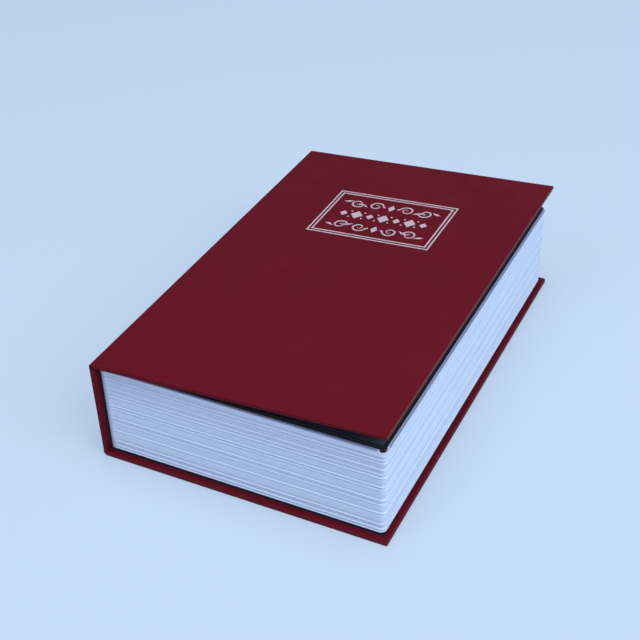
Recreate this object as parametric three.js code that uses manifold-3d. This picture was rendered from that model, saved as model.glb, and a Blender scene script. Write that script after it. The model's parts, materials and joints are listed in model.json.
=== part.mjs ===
// Book diversion safe: a cloth-covered case round a ridged page-block shell, which holds a
// steel box with a hinged lid, a cam lock and two keys on a split ring.
// Millimetres. +X runs from the spine to the fore-edge, +Y from tail to head, +Z up.
// The origin is at the bottom centre of the closed book, lying on its back cover.
import * as THREE from "three";
import { mergeVertices } from "three/addons/utils/BufferGeometryUtils.js";
import Module from "manifold-3d";

const wasm = await Module();
wasm.setup();

// Closed book
const BOOK_WIDTH = 155;
const BOOK_HEIGHT = 240;
const BOOK_THICKNESS = 57;

// Case: greyboard in cloth
const CLOTH = 0.3;
const BOARD = 1.9;
const FRONT_BOARD = 1.4;
const LAYER_GAP = 0.1;
const TURN_IN = 14;
const LINING_BORDER = 4;
const SPINE_CORNER_RADIUS = 2.5;
const SPINE_TO_COVER = 0.3;
const HINGE_FOLD = 0.6;
const HINGE_CLOTH_DROP = 0.4;

// Title frame of foil rules on the front cover
const FOIL = 0.15;
const FRAME_WIDTH = 72;
const FRAME_HEIGHT = 47.8;
const FRAME_TO_HEAD = 42.2;
const FRAME_RULE = 0.9;
const FRAME_STEP = 2.1;

// Page block shell
const SQUARE_FORE = 2;
const SQUARE_ENDS = 3.4;
const SHELL_TO_SPINE = 0.3;
const SHELL_BELOW_COVER = 1.7;
const SHELL_WALL = 1.2;
const SHELL_CORNER_RADIUS = 3;
const SHELL_NOTCH = 3.8;
const SHELL_FLANGE_WIDTH = 12;
const SHELL_FLANGE = 1.5;
const SHELL_END_BAND = 3;
const SHELL_SHADOW_GAP = 1;
const SHELL_SHADOW_DEPTH = 1;
const SHELL_RIM = 1.8;
const SHELL_LIP = 1.9;
const RIDGE_SLOPE = 0.3;
const RIDGE_DEPTH = 0.6;
const ridgeDepthShare = 0.12;
const RIDGE_DEPTH_RAD = 3.7;

// Steel box and lid
const SHEET = 0.8;
const TRAY_TO_SPINE = 1;
const TRAY_TO_LID = 0.4;
const LID_TO_SHELL = 0.3;
const LID_PROUD = 1.2;
const LID_FLANGE = 2.4;
const LID_EDGE_RADIUS = 2.2;
const LID_TO_RIM = 0.3;

// Lid hinges
const HINGE_LENGTH = 50;
const HINGE_INSET = 24;
const HINGE_KNUCKLES = 5;
const KNUCKLE_RADIUS = 1.7;
const KNUCKLE_OFFSET = 0.4;
const KNUCKLE_GAP = 0.4;
const LEAF = 0.8;
const LEAF_REACH = 12;
const HINGE_DROP = 1;
const HINGE_PIN_RADIUS = 0.85;
const HINGE_PIN_GAP = 0.15;

// Cam lock
const LOCK_INSET = 20.1;
const BEZEL_RADIUS = 9.75;
const BEZEL_HEIGHT = 6.9;
const BEZEL_CHAMFER = 0.7;
const BEZEL_LAND = 1.1;
const DISH_DEPTH = 0.8;
const BARREL_RADIUS = 8;
const BARREL_FLAT = 7.2;
const BARREL_LENGTH = 13.3;
const BARREL_GAP = 0.15;
const NUT_RADIUS = 10.6;
const NUT_HEIGHT = 3.2;
const PLUG_RADIUS = 6.25;
const PLUG_GAP = 0.2;
const KEYWAY_WIDTH = 2.4;
const KEYWAY_LENGTH = 9;
const KEYWAY_DEPTH = 15;
const WAFERS = 4;
const WAFER = 0.8;
const WAFER_PITCH = 2.6;
const WAFER_WIDTH = 6.8;
const WAFER_LENGTH = 10.2;
const WAFER_GAP = 0.15;
const WAFER_STEP = 0.35;
const WAFER_FIRST = 2.6;
const TAIL_SIDE = 5;
const TAIL_GAP = 0.15;
const CAM = 1.5;
const CAM_WIDTH = 9;
const CAM_REACH = 15;
const CAM_TO_BARREL = 0.2;
const CAM_WASHER = 0.7;
const CAM_WASHER_RADIUS = 4.5;
const CAM_SCREW_RADIUS = 1.5;
const CAM_SCREW_LENGTH = 4.6;
const CAM_SCREW_HEAD = 2;
const CAM_SCREW_HEAD_RADIUS = 3;
const CATCH = 1;
const CATCH_LENGTH = 18;
const CATCH_REACH = 8;
const CATCH_DROP = 5.4;
const CATCH_TO_CAM = 0.6;
const COVER_TO_LOCK = 0.3;

// Screws through the box floor into the back board
const SCREW_INSET_X = 11;
const SCREW_INSET_Y = 4.8;
const SCREW_RADIUS = 1.5;
const SCREW_GAP = 0.2;
const SCREW_HEAD_RADIUS = 3.2;
const SCREW_HEAD = 2;
const SCREW_TIP = 0.4;
const recessLengthShare = 0.5;
const recessWidthShare = 0.125;

// Keys and split ring, lying on the box floor
const KEY_HEAD_WIDTH = 25;
const KEY_HEAD_LENGTH = 25;
const KEY_HEAD = 5.5;
const KEY_HEAD_RADIUS = 5;
const KEY_NECK_CHAMFER = 5;
const KEY_PANEL_DEPTH = 0.6;
const KEY_PANEL_MARGIN = 3;
const KEY_SLOT_LENGTH = 8.4;
const KEY_SLOT_WIDTH = 4.8;
const KEY_SLOT_RADIUS = 2.2;
const KEY_BAR = 2.2;
const KEY_BLADE = 2;
const KEY_TANG_LENGTH = 12;
const KEY_TANG_GAP = 0.15;
const KEY_SHOULDER_WIDTH = 8.5;
const KEY_SHOULDER_LENGTH = 5;
const KEY_BIT_WIDTH = 6.6;
const KEY_BLADE_LENGTH = 28;
const KEY_BITS = 5;
const KEY_BIT_DEPTH = 0.8;
const keyBitFloorShares = [0.35, 0.65];
const keyBitDepthShare = 0.4;
const KEY_BIT_RAD = 2.3;
const KEY_GROOVE_WIDTH = 1.1;
const KEY_GROOVE_DEPTH = 0.5;
const KEY_GROOVE_OFFSET = 1.3;
const KEY_FROM_WALL = 20.6;
const KEY_RAISE = 4.9;
const KEY_TIP_RAISE = 0.25;
const RING_RADIUS = 10.25;
const RING_WIRE = 1.2;
const RING_TURNS = 2;
const RING_PITCH = 1.7;
const RING_LEAN_DEG = 68;
const RING_LEAST_GAP = 0.4;
const RING_TO_FLOOR = 0.1;

// One overrun for every cut, the weld tolerance of shared vertices, and round counts
const OVERRUN = 5;
const WELD = 0.0001;
const FINE_STEPS = 48;
const ROUND_STEPS = 32;
const KNUCKLE_STEPS = 20;
const SMALL_STEPS = 16;
const HEXAGON = 6;
const CORNER_STEPS = 7;
const KEY_STEPS = 4;
const RING_STEPS = 24;
const RING_SIDES = 6;

// Places worked out from the sizes above
const cover = BOARD + 2 * (CLOTH + LAYER_GAP);
const frontCover = FRONT_BOARD + 2 * (CLOTH + LAYER_GAP);
const spineX = -BOOK_WIDTH / 2;
const foreX = BOOK_WIDTH / 2;
const headY = BOOK_HEIGHT / 2;
const spineInnerX = spineX + cover;
const spineTop = BOOK_THICKNESS - frontCover - SPINE_TO_COVER;
const shellForeX = foreX - SQUARE_FORE;
const shellHeadY = headY - SQUARE_ENDS;
const shellSpineX = spineInnerX + SHELL_TO_SPINE;
const shellTop = BOOK_THICKNESS - frontCover - SHELL_BELOW_COVER;
const lidTop = shellTop + LID_PROUD;
const lidUnder = lidTop - SHEET;
const lidForeX = shellForeX - SHELL_WALL - LID_TO_SHELL;
const lidHeadY = shellHeadY - SHELL_WALL - LID_TO_SHELL;
const trayForeX = lidForeX - SHEET - TRAY_TO_LID;
const trayHeadY = lidHeadY - SHEET - TRAY_TO_LID;
const traySpineX = shellSpineX + TRAY_TO_SPINE;
const trayBottom = cover + SHELL_FLANGE;
const trayFloor = trayBottom + SHEET;
const lidBottom = lidTop - LID_FLANGE;
const hingeX = traySpineX + SHEET + KNUCKLE_OFFSET + KNUCKLE_RADIUS;
const hingeZ = lidUnder - HINGE_DROP;
const lidSpineX = hingeX + KNUCKLE_RADIUS + KNUCKLE_GAP;
const lockX = lidForeX - LOCK_INSET;
const bezelTop = lidTop + BEZEL_HEIGHT;
const barrelBottom = lidTop - BARREL_LENGTH;
const plugTop = bezelTop - DISH_DEPTH;
const camTop = barrelBottom - CAM_TO_BARREL;
const camBottom = camTop - CAM;
const screwForeX = trayForeX - SHEET - SCREW_INSET_X;
const screwSpineX = traySpineX + SHEET + SCREW_INSET_X;
const screwY = trayHeadY - SHEET - SCREW_INSET_Y;

// The rim of the box clears the curve inside the rounded edge of the lid.
const lidCurve = LID_EDGE_RADIUS - SHEET;
const rimFromCurve = Math.max(0, lidCurve - TRAY_TO_LID);
const trayTop = lidTop - LID_EDGE_RADIUS + Math.sqrt(lidCurve ** 2 - rimFromCurve ** 2) - LID_TO_RIM;

// The front cover leans on the lock: its underside clears the near edge of the bezel's top.
const leanX = lockX - (BEZEL_RADIUS - BEZEL_CHAMFER) - spineX;
const leanZ = bezelTop - BOOK_THICKNESS;
const leanReach = Math.hypot(leanX, leanZ);
const coverTilt = Math.atan2(leanZ, leanX) + Math.asin((frontCover + COVER_TO_LOCK) / leanReach);

// Geometry to solid and back
function solidOf(geometry) {
  const bare = geometry.clone();
  bare.deleteAttribute("normal");
  bare.deleteAttribute("uv");
  const welded = mergeVertices(bare, WELD);
  const vertProperties = new Float32Array(welded.attributes.position.array);
  const triVerts = new Uint32Array(welded.index.array);
  return new wasm.Manifold(new wasm.Mesh({ numProp: 3, vertProperties, triVerts }));
}

function geometryOf(solid) {
  const mesh = solid.getMesh();
  const geometry = new THREE.BufferGeometry();
  const positions = new Float32Array(mesh.vertProperties);
  geometry.setAttribute("position", new THREE.BufferAttribute(positions, 3));
  geometry.setIndex(new THREE.BufferAttribute(new Uint32Array(mesh.triVerts), 1));
  geometry.computeVertexNormals();
  return geometry;
}

function united(solids) {
  return solids.reduce((whole, next) => whole.add(next));
}

function cut(solid, tools) {
  return tools.reduce((rest, tool) => rest.subtract(tool), solid);
}

// Basic solids
function block(x0, x1, y0, y1, z0, z1) {
  const box = new THREE.BoxGeometry(x1 - x0, y1 - y0, z1 - z0);
  return solidOf(box.translate((x0 + x1) / 2, (y0 + y1) / 2, (z0 + z1) / 2));
}

function post(x, y, z0, z1, radius, steps = ROUND_STEPS) {
  const cylinder = new THREE.CylinderGeometry(radius, radius, z1 - z0, steps);
  return solidOf(cylinder.rotateX(Math.PI / 2).translate(x, y, (z0 + z1) / 2));
}

function rodAlongY(x, z, y0, y1, radius, steps = ROUND_STEPS) {
  const cylinder = new THREE.CylinderGeometry(radius, radius, y1 - y0, steps);
  return solidOf(cylinder.translate(x, (y0 + y1) / 2, z));
}

function prism(shape, z0, z1) {
  const options = { depth: z1 - z0, bevelEnabled: false, curveSegments: KEY_STEPS };
  return solidOf(new THREE.ExtrudeGeometry(shape, options).translate(0, 0, z0));
}

function turned(x, y, profile, steps = ROUND_STEPS) {
  const points = profile.map(([radius, z]) => new THREE.Vector2(radius, z));
  return solidOf(new THREE.LatheGeometry(points, steps).rotateX(Math.PI / 2).translate(x, y, 0));
}

function roundedRectangle(x0, x1, y0, y1, radius) {
  const shape = new THREE.Shape();
  shape.moveTo(x0 + radius, y0);
  shape.lineTo(x1 - radius, y0);
  shape.absarc(x1 - radius, y0 + radius, radius, -Math.PI / 2, 0);
  shape.lineTo(x1, y1 - radius);
  shape.absarc(x1 - radius, y1 - radius, radius, 0, Math.PI / 2);
  shape.lineTo(x0 + radius, y1);
  shape.absarc(x0 + radius, y1 - radius, radius, Math.PI / 2, Math.PI);
  shape.lineTo(x0, y0 + radius);
  shape.absarc(x0 + radius, y0 + radius, radius, Math.PI, 1.5 * Math.PI);
  return shape;
}

// A closed solid through rings of equal count, one above the other, each a list of [x, y]
function loft(rings, heights) {
  const count = rings[0].length;
  const positions = rings.flatMap((ring, i) => ring.flatMap(([x, y]) => [x, y, heights[i]]));
  const indices = [];
  for (let i = 0; i + 1 < rings.length; i++) {
    for (let j = 0; j < count; j++) {
      const low = i * count + j;
      const next = i * count + ((j + 1) % count);
      indices.push(low, next, next + count, low, next + count, low + count);
    }
  }
  const outline = rings[0].map(([x, y]) => new THREE.Vector2(x, y));
  const top = (rings.length - 1) * count;
  for (const [a, b, c] of THREE.ShapeUtils.triangulateShape(outline, [])) {
    indices.push(a, c, b, top + a, top + b, top + c);
  }
  const geometry = new THREE.BufferGeometry();
  geometry.setAttribute("position", new THREE.Float32BufferAttribute(positions, 3));
  geometry.setIndex(indices);
  return solidOf(geometry);
}

// Anticlockwise outline with square corners at the spine and round ones at the fore-edge
function blockOutline(x0, x1, y, radius) {
  const ring = [[x0, -y]];
  for (let k = 0; k <= CORNER_STEPS; k++) {
    const turn = (k / CORNER_STEPS) * (Math.PI / 2);
    ring.push([x1 - radius + radius * Math.sin(turn), -y + radius - radius * Math.cos(turn)]);
  }
  for (let k = 0; k <= CORNER_STEPS; k++) {
    const turn = (k / CORNER_STEPS) * (Math.PI / 2);
    ring.push([x1 - radius + radius * Math.cos(turn), y - radius + radius * Math.sin(turn)]);
  }
  ring.push([x0, y]);
  return ring;
}

// Materials
function finish(color, roughness, metalness) {
  return new THREE.MeshStandardMaterial({ color, roughness, metalness });
}

const redCloth = finish(0x64182a, 0.55, 0);
const greyboard = finish(0x8c857b, 0.9, 0);
const blackLining = finish(0x17171a, 0.8, 0);
const silverFoil = finish(0xb9bcc4, 0.35, 0.8);
const whitePlastic = finish(0xdfe6ee, 0.5, 0);
const darkPaint = finish(0x4f5a66, 0.5, 0.3);
const chrome = finish(0xd5d8dc, 0.15, 1);
const zincSteel = finish(0xa9adb0, 0.35, 1);
const brassPlate = finish(0xb59a5a, 0.35, 1);
const nickel = finish(0xc2c4c2, 0.25, 1);
const blackPlastic = finish(0x24272b, 0.5, 0);

const book = new THREE.Group();

function place(parent, name, solid, material) {
  const mesh = new THREE.Mesh(geometryOf(solid), material);
  mesh.name = name;
  parent.add(mesh);
  return mesh;
}

// Holes for the four screws that hold the box, its shell and the back cover together
function screwPlaces() {
  return [screwSpineX, screwForeX].flatMap((x) => [-1, 1].map((side) => [x, side * screwY]));
}

function screwHoles(z0, z1) {
  return screwPlaces().map(([x, y]) => post(x, y, z0, z1, SCREW_RADIUS + SCREW_GAP, SMALL_STEPS));
}

// Case, lower half: cloth over the back board and the spine board
function backBoardSpace(gap) {
  const side = CLOTH + LAYER_GAP - gap;
  const x0 = spineInnerX - CLOTH + LAYER_GAP - gap;
  return block(x0, foreX - side, -headY + side, headY - side, side, cover - side);
}

function spineBoardSpace(gap) {
  const side = CLOTH + LAYER_GAP - gap;
  const z0 = cover + LAYER_GAP - gap;
  return block(spineX + side, spineInnerX - side, -headY + side, headY - side, z0, spineTop - side);
}

function baseOutline() {
  const shape = new THREE.Shape();
  shape.moveTo(spineX + SPINE_CORNER_RADIUS, 0);
  shape.lineTo(foreX, 0);
  shape.lineTo(foreX, cover);
  shape.lineTo(spineInnerX, cover);
  shape.lineTo(spineInnerX, spineTop);
  shape.lineTo(spineX, spineTop);
  shape.lineTo(spineX, SPINE_CORNER_RADIUS);
  const centre = [spineX + SPINE_CORNER_RADIUS, SPINE_CORNER_RADIUS];
  shape.absarc(...centre, SPINE_CORNER_RADIUS, Math.PI, 1.5 * Math.PI);
  return shape;
}

function buildBaseCloth() {
  const options = { depth: BOOK_HEIGHT, bevelEnabled: false, curveSegments: CORNER_STEPS };
  const outline = new THREE.ExtrudeGeometry(baseOutline(), options);
  const slab = solidOf(outline.rotateX(Math.PI / 2).translate(0, headY, 0));
  const windowY = headY - TURN_IN;
  const backZ = cover - CLOTH - LAYER_GAP;
  const backWindow = block(spineInnerX, foreX - TURN_IN, -windowY, windowY, backZ, cover + OVERRUN);
  const spineWindowX = spineInnerX - CLOTH - LAYER_GAP;
  const spineWindowTop = spineTop - TURN_IN;
  const spineWindow = block(spineWindowX, spineInnerX + OVERRUN, -windowY, windowY, cover, spineWindowTop);
  const spaces = [backBoardSpace(LAYER_GAP), spineBoardSpace(LAYER_GAP)];
  return cut(slab, [...spaces, backWindow, spineWindow, ...screwHoles(backZ, cover + OVERRUN)]);
}

function buildBackBoard() {
  return cut(backBoardSpace(0), screwHoles(CLOTH + LAYER_GAP + SCREW_TIP, cover));
}

function buildHingeCloth() {
  return block(spineX, spineX + CLOTH, -headY, headY, spineTop, BOOK_THICKNESS - HINGE_CLOTH_DROP);
}

function addCase() {
  place(book, "base_cloth", buildBaseCloth(), redCloth);
  place(book, "back_board", buildBackBoard(), greyboard);
  place(book, "spine_board", spineBoardSpace(0), greyboard);
  place(book, "hinge_cloth", buildHingeCloth(), redCloth);
}

// Front cover, in its own frame: x from the fold at the spine, z down from the outer face
const coverLow = -frontCover;
const liningTop = coverLow + CLOTH;
const boardX = HINGE_FOLD + CLOTH + LAYER_GAP;

function frontBoardSpace(gap) {
  const side = CLOTH + LAYER_GAP - gap;
  return block(boardX - gap, BOOK_WIDTH - side, -headY + side, headY - side, coverLow + side, -side);
}

function frontWindow(inset, z0, z1) {
  const x0 = HINGE_FOLD + LINING_BORDER + inset;
  const x1 = BOOK_WIDTH - LINING_BORDER - inset;
  const y = headY - LINING_BORDER - inset;
  return block(x0, x1, -y, y, z0, z1);
}

function buildFrontCloth() {
  const slab = block(HINGE_FOLD, BOOK_WIDTH, -headY, headY, coverLow, 0);
  const window = frontWindow(0, coverLow - OVERRUN, liningTop + LAYER_GAP);
  return cut(slab, [frontBoardSpace(LAYER_GAP), window]);
}

function foilRule(inset) {
  const x0 = (BOOK_WIDTH - FRAME_WIDTH) / 2 + inset;
  const x1 = x0 + FRAME_WIDTH - 2 * inset;
  const y1 = headY - FRAME_TO_HEAD - inset;
  const y0 = y1 - FRAME_HEIGHT + 2 * inset;
  const top = LAYER_GAP + FOIL;
  const plate = block(x0, x1, y0, y1, LAYER_GAP, top);
  const inner = block(x0 + FRAME_RULE, x1 - FRAME_RULE, y0 + FRAME_RULE, y1 - FRAME_RULE, 0, top + OVERRUN);
  return plate.subtract(inner);
}

function addFrontCover() {
  const turn = new THREE.Group();
  turn.position.set(spineX, 0, BOOK_THICKNESS);
  turn.rotation.y = -coverTilt;
  book.add(turn);
  place(turn, "front_cloth", buildFrontCloth(), redCloth);
  place(turn, "front_board", frontBoardSpace(0), greyboard);
  place(turn, "front_lining", frontWindow(LAYER_GAP, coverLow, liningTop), blackLining);
  place(turn, "title_frame_outer", foilRule(0), silverFoil);
  place(turn, "title_frame_inner", foilRule(FRAME_STEP), silverFoil);
}

// Page block: a moulded wall on three sides, ridged like bundles of leaves of uneven height.
// Going up, each bundle is a shallow swell under a narrow bead, with a groove on both sides of it.
const bundleShares = [1.8, 3, 7, 5, 3, 6, 2, 5.5, 2, 3, 3.5, 2, 2.5];
const beadShare = 1.3;
const beadSlopeShare = 0.35;
const swellRiseShare = 0.06;
const swellSlopeShare = 0.2;

function ridgeLevels() {
  const low = cover + SHELL_LIP;
  const high = shellTop - SHELL_RIM;
  const scale = (high - low) / bundleShares.reduce((sum, share) => sum + share, 0);
  const bead = beadShare * scale;
  const beadSlope = bead * beadSlopeShare;
  const foot = cover + SHELL_SHADOW_GAP;
  const gapTop = [foot + WELD, 0];
  const levels = [[cover, SHELL_SHADOW_DEPTH], [foot, SHELL_SHADOW_DEPTH], gapTop, [low - RIDGE_SLOPE, 0]];
  let z = low;
  bundleShares.forEach((share, k) => {
    const top = z + share * scale;
    const swell = top - bead - z;
    const slope = swell * swellSlopeShare;
    const swellDepth = RIDGE_DEPTH - swell * swellRiseShare;
    const crest = RIDGE_DEPTH * ridgeDepthShare * (1 - Math.sin(RIDGE_DEPTH_RAD * k));
    levels.push([z, RIDGE_DEPTH], [z + slope, swellDepth], [z + swell - slope, swellDepth]);
    levels.push([z + swell, RIDGE_DEPTH], [z + swell + beadSlope, crest], [top - beadSlope, crest]);
    z = top;
  });
  levels.push([high, RIDGE_DEPTH], [high + RIDGE_SLOPE, 0], [shellTop, 0]);
  return levels;
}

function cornerNotch(side) {
  const bottom = lidBottom - LID_TO_SHELL;
  const y0 = shellHeadY - SHELL_NOTCH;
  const y1 = shellHeadY + OVERRUN;
  const low = Math.min(side * y0, side * y1);
  const high = Math.max(side * y0, side * y1);
  return block(shellForeX - SHELL_NOTCH, shellForeX + OVERRUN, low, high, bottom, shellTop + OVERRUN);
}

function buildPageShell() {
  const levels = ridgeLevels();
  const bandEnd = shellSpineX + SHELL_END_BAND;
  const rings = levels.map(([, inset]) =>
    blockOutline(bandEnd - WELD, shellForeX - inset, shellHeadY - inset, SHELL_CORNER_RADIUS - inset),
  );
  const ridged = loft(rings, levels.map(([z]) => z));
  const gapX = shellSpineX + SHELL_SHADOW_GAP;
  const gapY = shellHeadY - SHELL_SHADOW_DEPTH;
  const gapZ = cover + SHELL_SHADOW_GAP;
  const band = united([
    block(shellSpineX, bandEnd, -gapY, gapY, cover, shellTop),
    block(gapX, bandEnd, -shellHeadY, shellHeadY, gapZ, shellTop),
  ]);
  const innerX = shellForeX - SHELL_WALL;
  const innerY = shellHeadY - SHELL_WALL;
  const innerRadius = SHELL_CORNER_RADIUS - SHELL_WALL;
  const openX = shellSpineX - OVERRUN;
  const box = loft(
    [trayBottom, shellTop + OVERRUN].map(() => blockOutline(openX, innerX, innerY, innerRadius)),
    [trayBottom, shellTop + OVERRUN],
  );
  const flangeX = shellForeX - SHELL_FLANGE_WIDTH;
  const flangeY = shellHeadY - SHELL_FLANGE_WIDTH;
  const floorGap = block(openX, flangeX, -flangeY, flangeY, cover - OVERRUN, trayBottom + OVERRUN);
  const notches = [cornerNotch(-1), cornerNotch(1)];
  return cut(ridged.add(band), [box, floorGap, ...notches, ...screwHoles(0, trayBottom + OVERRUN)]);
}

// Steel box: one folded sheet, open at the top
function buildTray() {
  const x0 = traySpineX;
  const x1 = trayForeX;
  const outer = block(x0, x1, -trayHeadY, trayHeadY, trayBottom, trayTop);
  const y = trayHeadY - SHEET;
  const inner = block(x0 + SHEET, x1 - SHEET, -y, y, trayFloor, trayTop + OVERRUN);
  return cut(outer, [inner, ...screwHoles(0, trayFloor + OVERRUN)]);
}

function screwProfile() {
  const edge = SCREW_HEAD_RADIUS;
  const top = trayFloor + SCREW_HEAD;
  return [
    [0, CLOTH + LAYER_GAP + 2 * SCREW_TIP],
    [SCREW_RADIUS, CLOTH + LAYER_GAP + 2 * SCREW_TIP + SCREW_RADIUS / 2],
    [SCREW_RADIUS, trayFloor],
    [edge, trayFloor],
    [edge, trayFloor + SCREW_HEAD / 2],
    [edge / 2, top],
    [0, top],
  ];
}

function crossRecess(x, y, top, radius) {
  const half = radius * recessLengthShare;
  const width = radius * recessWidthShare;
  return [
    block(x - half, x + half, y - width, y + width, top - half, top + OVERRUN),
    block(x - width, x + width, y - half, y + half, top - half, top + OVERRUN),
  ];
}

function addBox() {
  place(book, "page_shell", buildPageShell(), whitePlastic);
  place(book, "box_tray", buildTray(), darkPaint);
  screwPlaces().forEach(([x, y], i) => {
    const screw = turned(x, y, screwProfile(), SMALL_STEPS);
    const recess = crossRecess(x, y, trayFloor + SCREW_HEAD, SCREW_HEAD_RADIUS);
    place(book, "box_screw_" + (i + 1), cut(screw, recess), zincSteel);
  });
}

// Lid: a pressed sheet with a rounded edge and a flange on three sides
function lidOutline(inset) {
  const x0 = lidSpineX - OVERRUN;
  const x1 = lidForeX - inset;
  const y = lidHeadY - inset;
  return [[x0, -y], [x1, -y], [x1, y], [x0, y]];
}

function lidLevels(thickness, bottom) {
  const radius = LID_EDGE_RADIUS - thickness;
  const levels = [[bottom, thickness]];
  for (let k = 0; k <= CORNER_STEPS; k++) {
    const turn = (k / CORNER_STEPS) * (Math.PI / 2);
    const z = lidTop - LID_EDGE_RADIUS + radius * Math.sin(turn);
    levels.push([z, LID_EDGE_RADIUS - radius * Math.cos(turn)]);
  }
  return levels;
}

function lidBody(thickness, bottom) {
  const levels = lidLevels(thickness, bottom);
  return loft(levels.map(([, inset]) => lidOutline(inset)), levels.map(([z]) => z));
}

function barrelSection(gap, z0, z1) {
  const flat = BARREL_FLAT + gap;
  const reach = BARREL_RADIUS + gap + OVERRUN;
  const flats = block(lockX - flat, lockX + flat, -reach, reach, z0, z1);
  return post(lockX, 0, z0, z1, BARREL_RADIUS + gap, FINE_STEPS).intersect(flats);
}

function buildLid() {
  const rear = block(lidSpineX - 2 * OVERRUN, lidSpineX, -headY, headY, 0, lidTop + OVERRUN);
  const hole = barrelSection(BARREL_GAP, lidUnder - OVERRUN, lidTop + OVERRUN);
  return cut(lidBody(0, lidBottom), [lidBody(SHEET, lidBottom - OVERRUN), rear, hole]);
}

// Butt hinge: knuckles alternate between the box leaf and the lid leaf round one pin
function knuckleSpan(k, side) {
  const pitch = HINGE_LENGTH / HINGE_KNUCKLES;
  const y0 = side * (trayHeadY - HINGE_INSET - HINGE_LENGTH / 2) - HINGE_LENGTH / 2 + k * pitch;
  return [y0, y0 + pitch];
}

function knuckleIndices(odd) {
  return Array.from({ length: HINGE_KNUCKLES }, (_, k) => k).filter((k) => (k % 2 === 1) === odd);
}

function buildLeaf(side, odd, plate) {
  const half = KNUCKLE_GAP / 2;
  const own = knuckleIndices(odd).map((k) => {
    const [y0, y1] = knuckleSpan(k, side);
    return rodAlongY(hingeX, hingeZ, y0 + half, y1 - half, KNUCKLE_RADIUS, KNUCKLE_STEPS);
  });
  const roomRadius = KNUCKLE_RADIUS + KNUCKLE_GAP;
  const other = knuckleIndices(!odd).map((k) => {
    const [y0, y1] = knuckleSpan(k, side);
    return rodAlongY(hingeX, hingeZ, y0 - half, y1 + half, roomRadius, KNUCKLE_STEPS);
  });
  const [yLow] = knuckleSpan(0, side);
  const [, yHigh] = knuckleSpan(HINGE_KNUCKLES - 1, side);
  const boreRadius = HINGE_PIN_RADIUS + HINGE_PIN_GAP;
  const bore = rodAlongY(hingeX, hingeZ, yLow - OVERRUN, yHigh + OVERRUN, boreRadius, KNUCKLE_STEPS);
  return cut(united([cut(plate(yLow, yHigh), other), ...own]), [bore]);
}

function boxLeafPlate(y0, y1) {
  const x0 = traySpineX + SHEET;
  return block(x0, x0 + LEAF, y0, y1, hingeZ - LEAF_REACH, hingeZ);
}

function lidLeafPlate(y0, y1) {
  return block(hingeX, hingeX + LEAF_REACH, y0, y1, lidUnder - LEAF, lidUnder);
}

function addHinge(parent, number, side) {
  place(parent, "hinge_box_leaf_" + number, buildLeaf(side, false, boxLeafPlate), zincSteel);
  place(parent, "hinge_lid_leaf_" + number, buildLeaf(side, true, lidLeafPlate), zincSteel);
  const [y0] = knuckleSpan(0, side);
  const [, y1] = knuckleSpan(HINGE_KNUCKLES - 1, side);
  const pin = rodAlongY(hingeX, hingeZ, y0, y1, HINGE_PIN_RADIUS, KNUCKLE_STEPS);
  place(parent, "hinge_pin_" + number, pin, zincSteel);
}

// Cam lock: housing through the lid, nut below it, and a plug that turns the cam
function buildHousing() {
  const land = BEZEL_RADIUS - BEZEL_CHAMFER;
  const bore = PLUG_RADIUS + PLUG_GAP;
  const whole = turned(lockX, 0, [
    [bore, barrelBottom],
    [BARREL_RADIUS, barrelBottom],
    [BARREL_RADIUS, lidTop],
    [BEZEL_RADIUS, lidTop],
    [BEZEL_RADIUS, bezelTop - BEZEL_CHAMFER],
    [land, bezelTop],
    [land - BEZEL_LAND, bezelTop],
    [bore, plugTop],
    [bore, barrelBottom],
  ], FINE_STEPS);
  const reach = BARREL_RADIUS + OVERRUN;
  const flats = [-1, 1].map((side) => {
    const low = Math.min(side * BARREL_FLAT, side * reach);
    const high = Math.max(side * BARREL_FLAT, side * reach);
    return block(lockX + low, lockX + high, -reach, reach, barrelBottom - OVERRUN, lidTop);
  });
  return cut(whole, flats);
}

function buildLockNut() {
  const z0 = lidUnder - NUT_HEIGHT;
  const hexagon = post(lockX, 0, z0, lidUnder, NUT_RADIUS, HEXAGON);
  const hole = post(lockX, 0, z0 - OVERRUN, lidUnder + OVERRUN, BARREL_RADIUS + BARREL_GAP, FINE_STEPS);
  return hexagon.subtract(hole);
}

function waferTop(k) {
  return plugTop - WAFER_FIRST - k * WAFER_PITCH;
}

function waferPlate(k, gap) {
  const x = WAFER_WIDTH / 2 + gap;
  const y = WAFER_LENGTH / 2 + gap;
  return block(lockX - x, lockX + x, -y, y, waferTop(k) - WAFER - gap, waferTop(k) + gap);
}

function keyway(width, length, centreY, z0, z1) {
  return block(lockX - width / 2, lockX + width / 2, centreY - length / 2, centreY + length / 2, z0, z1);
}

function plugScrewHole(z0) {
  return post(lockX, 0, z0, camBottom + CAM_SCREW_LENGTH, CAM_SCREW_RADIUS + TAIL_GAP, SMALL_STEPS);
}

function buildPlug() {
  const body = post(lockX, 0, barrelBottom, plugTop, PLUG_RADIUS, FINE_STEPS);
  const half = TAIL_SIDE / 2;
  const tail = block(lockX - half, lockX + half, -half, half, camBottom, barrelBottom + half);
  const slot = keyway(KEYWAY_WIDTH, KEYWAY_LENGTH, 0, plugTop - KEYWAY_DEPTH, plugTop + OVERRUN);
  const waferSlots = Array.from({ length: WAFERS }, (_, k) => waferPlate(k, WAFER_GAP));
  return cut(body.add(tail), [slot, ...waferSlots, plugScrewHole(camBottom - OVERRUN)]);
}

function buildWafer(k) {
  const shift = WAFER_STEP * Math.sin(2 * k + 1);
  const z = waferTop(k);
  const width = KEYWAY_WIDTH + WAFER_GAP;
  const length = KEY_BIT_WIDTH + WAFER_GAP;
  const hole = keyway(width, length, shift, z - WAFER - OVERRUN, z + OVERRUN);
  return waferPlate(k, 0).subtract(hole);
}

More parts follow.
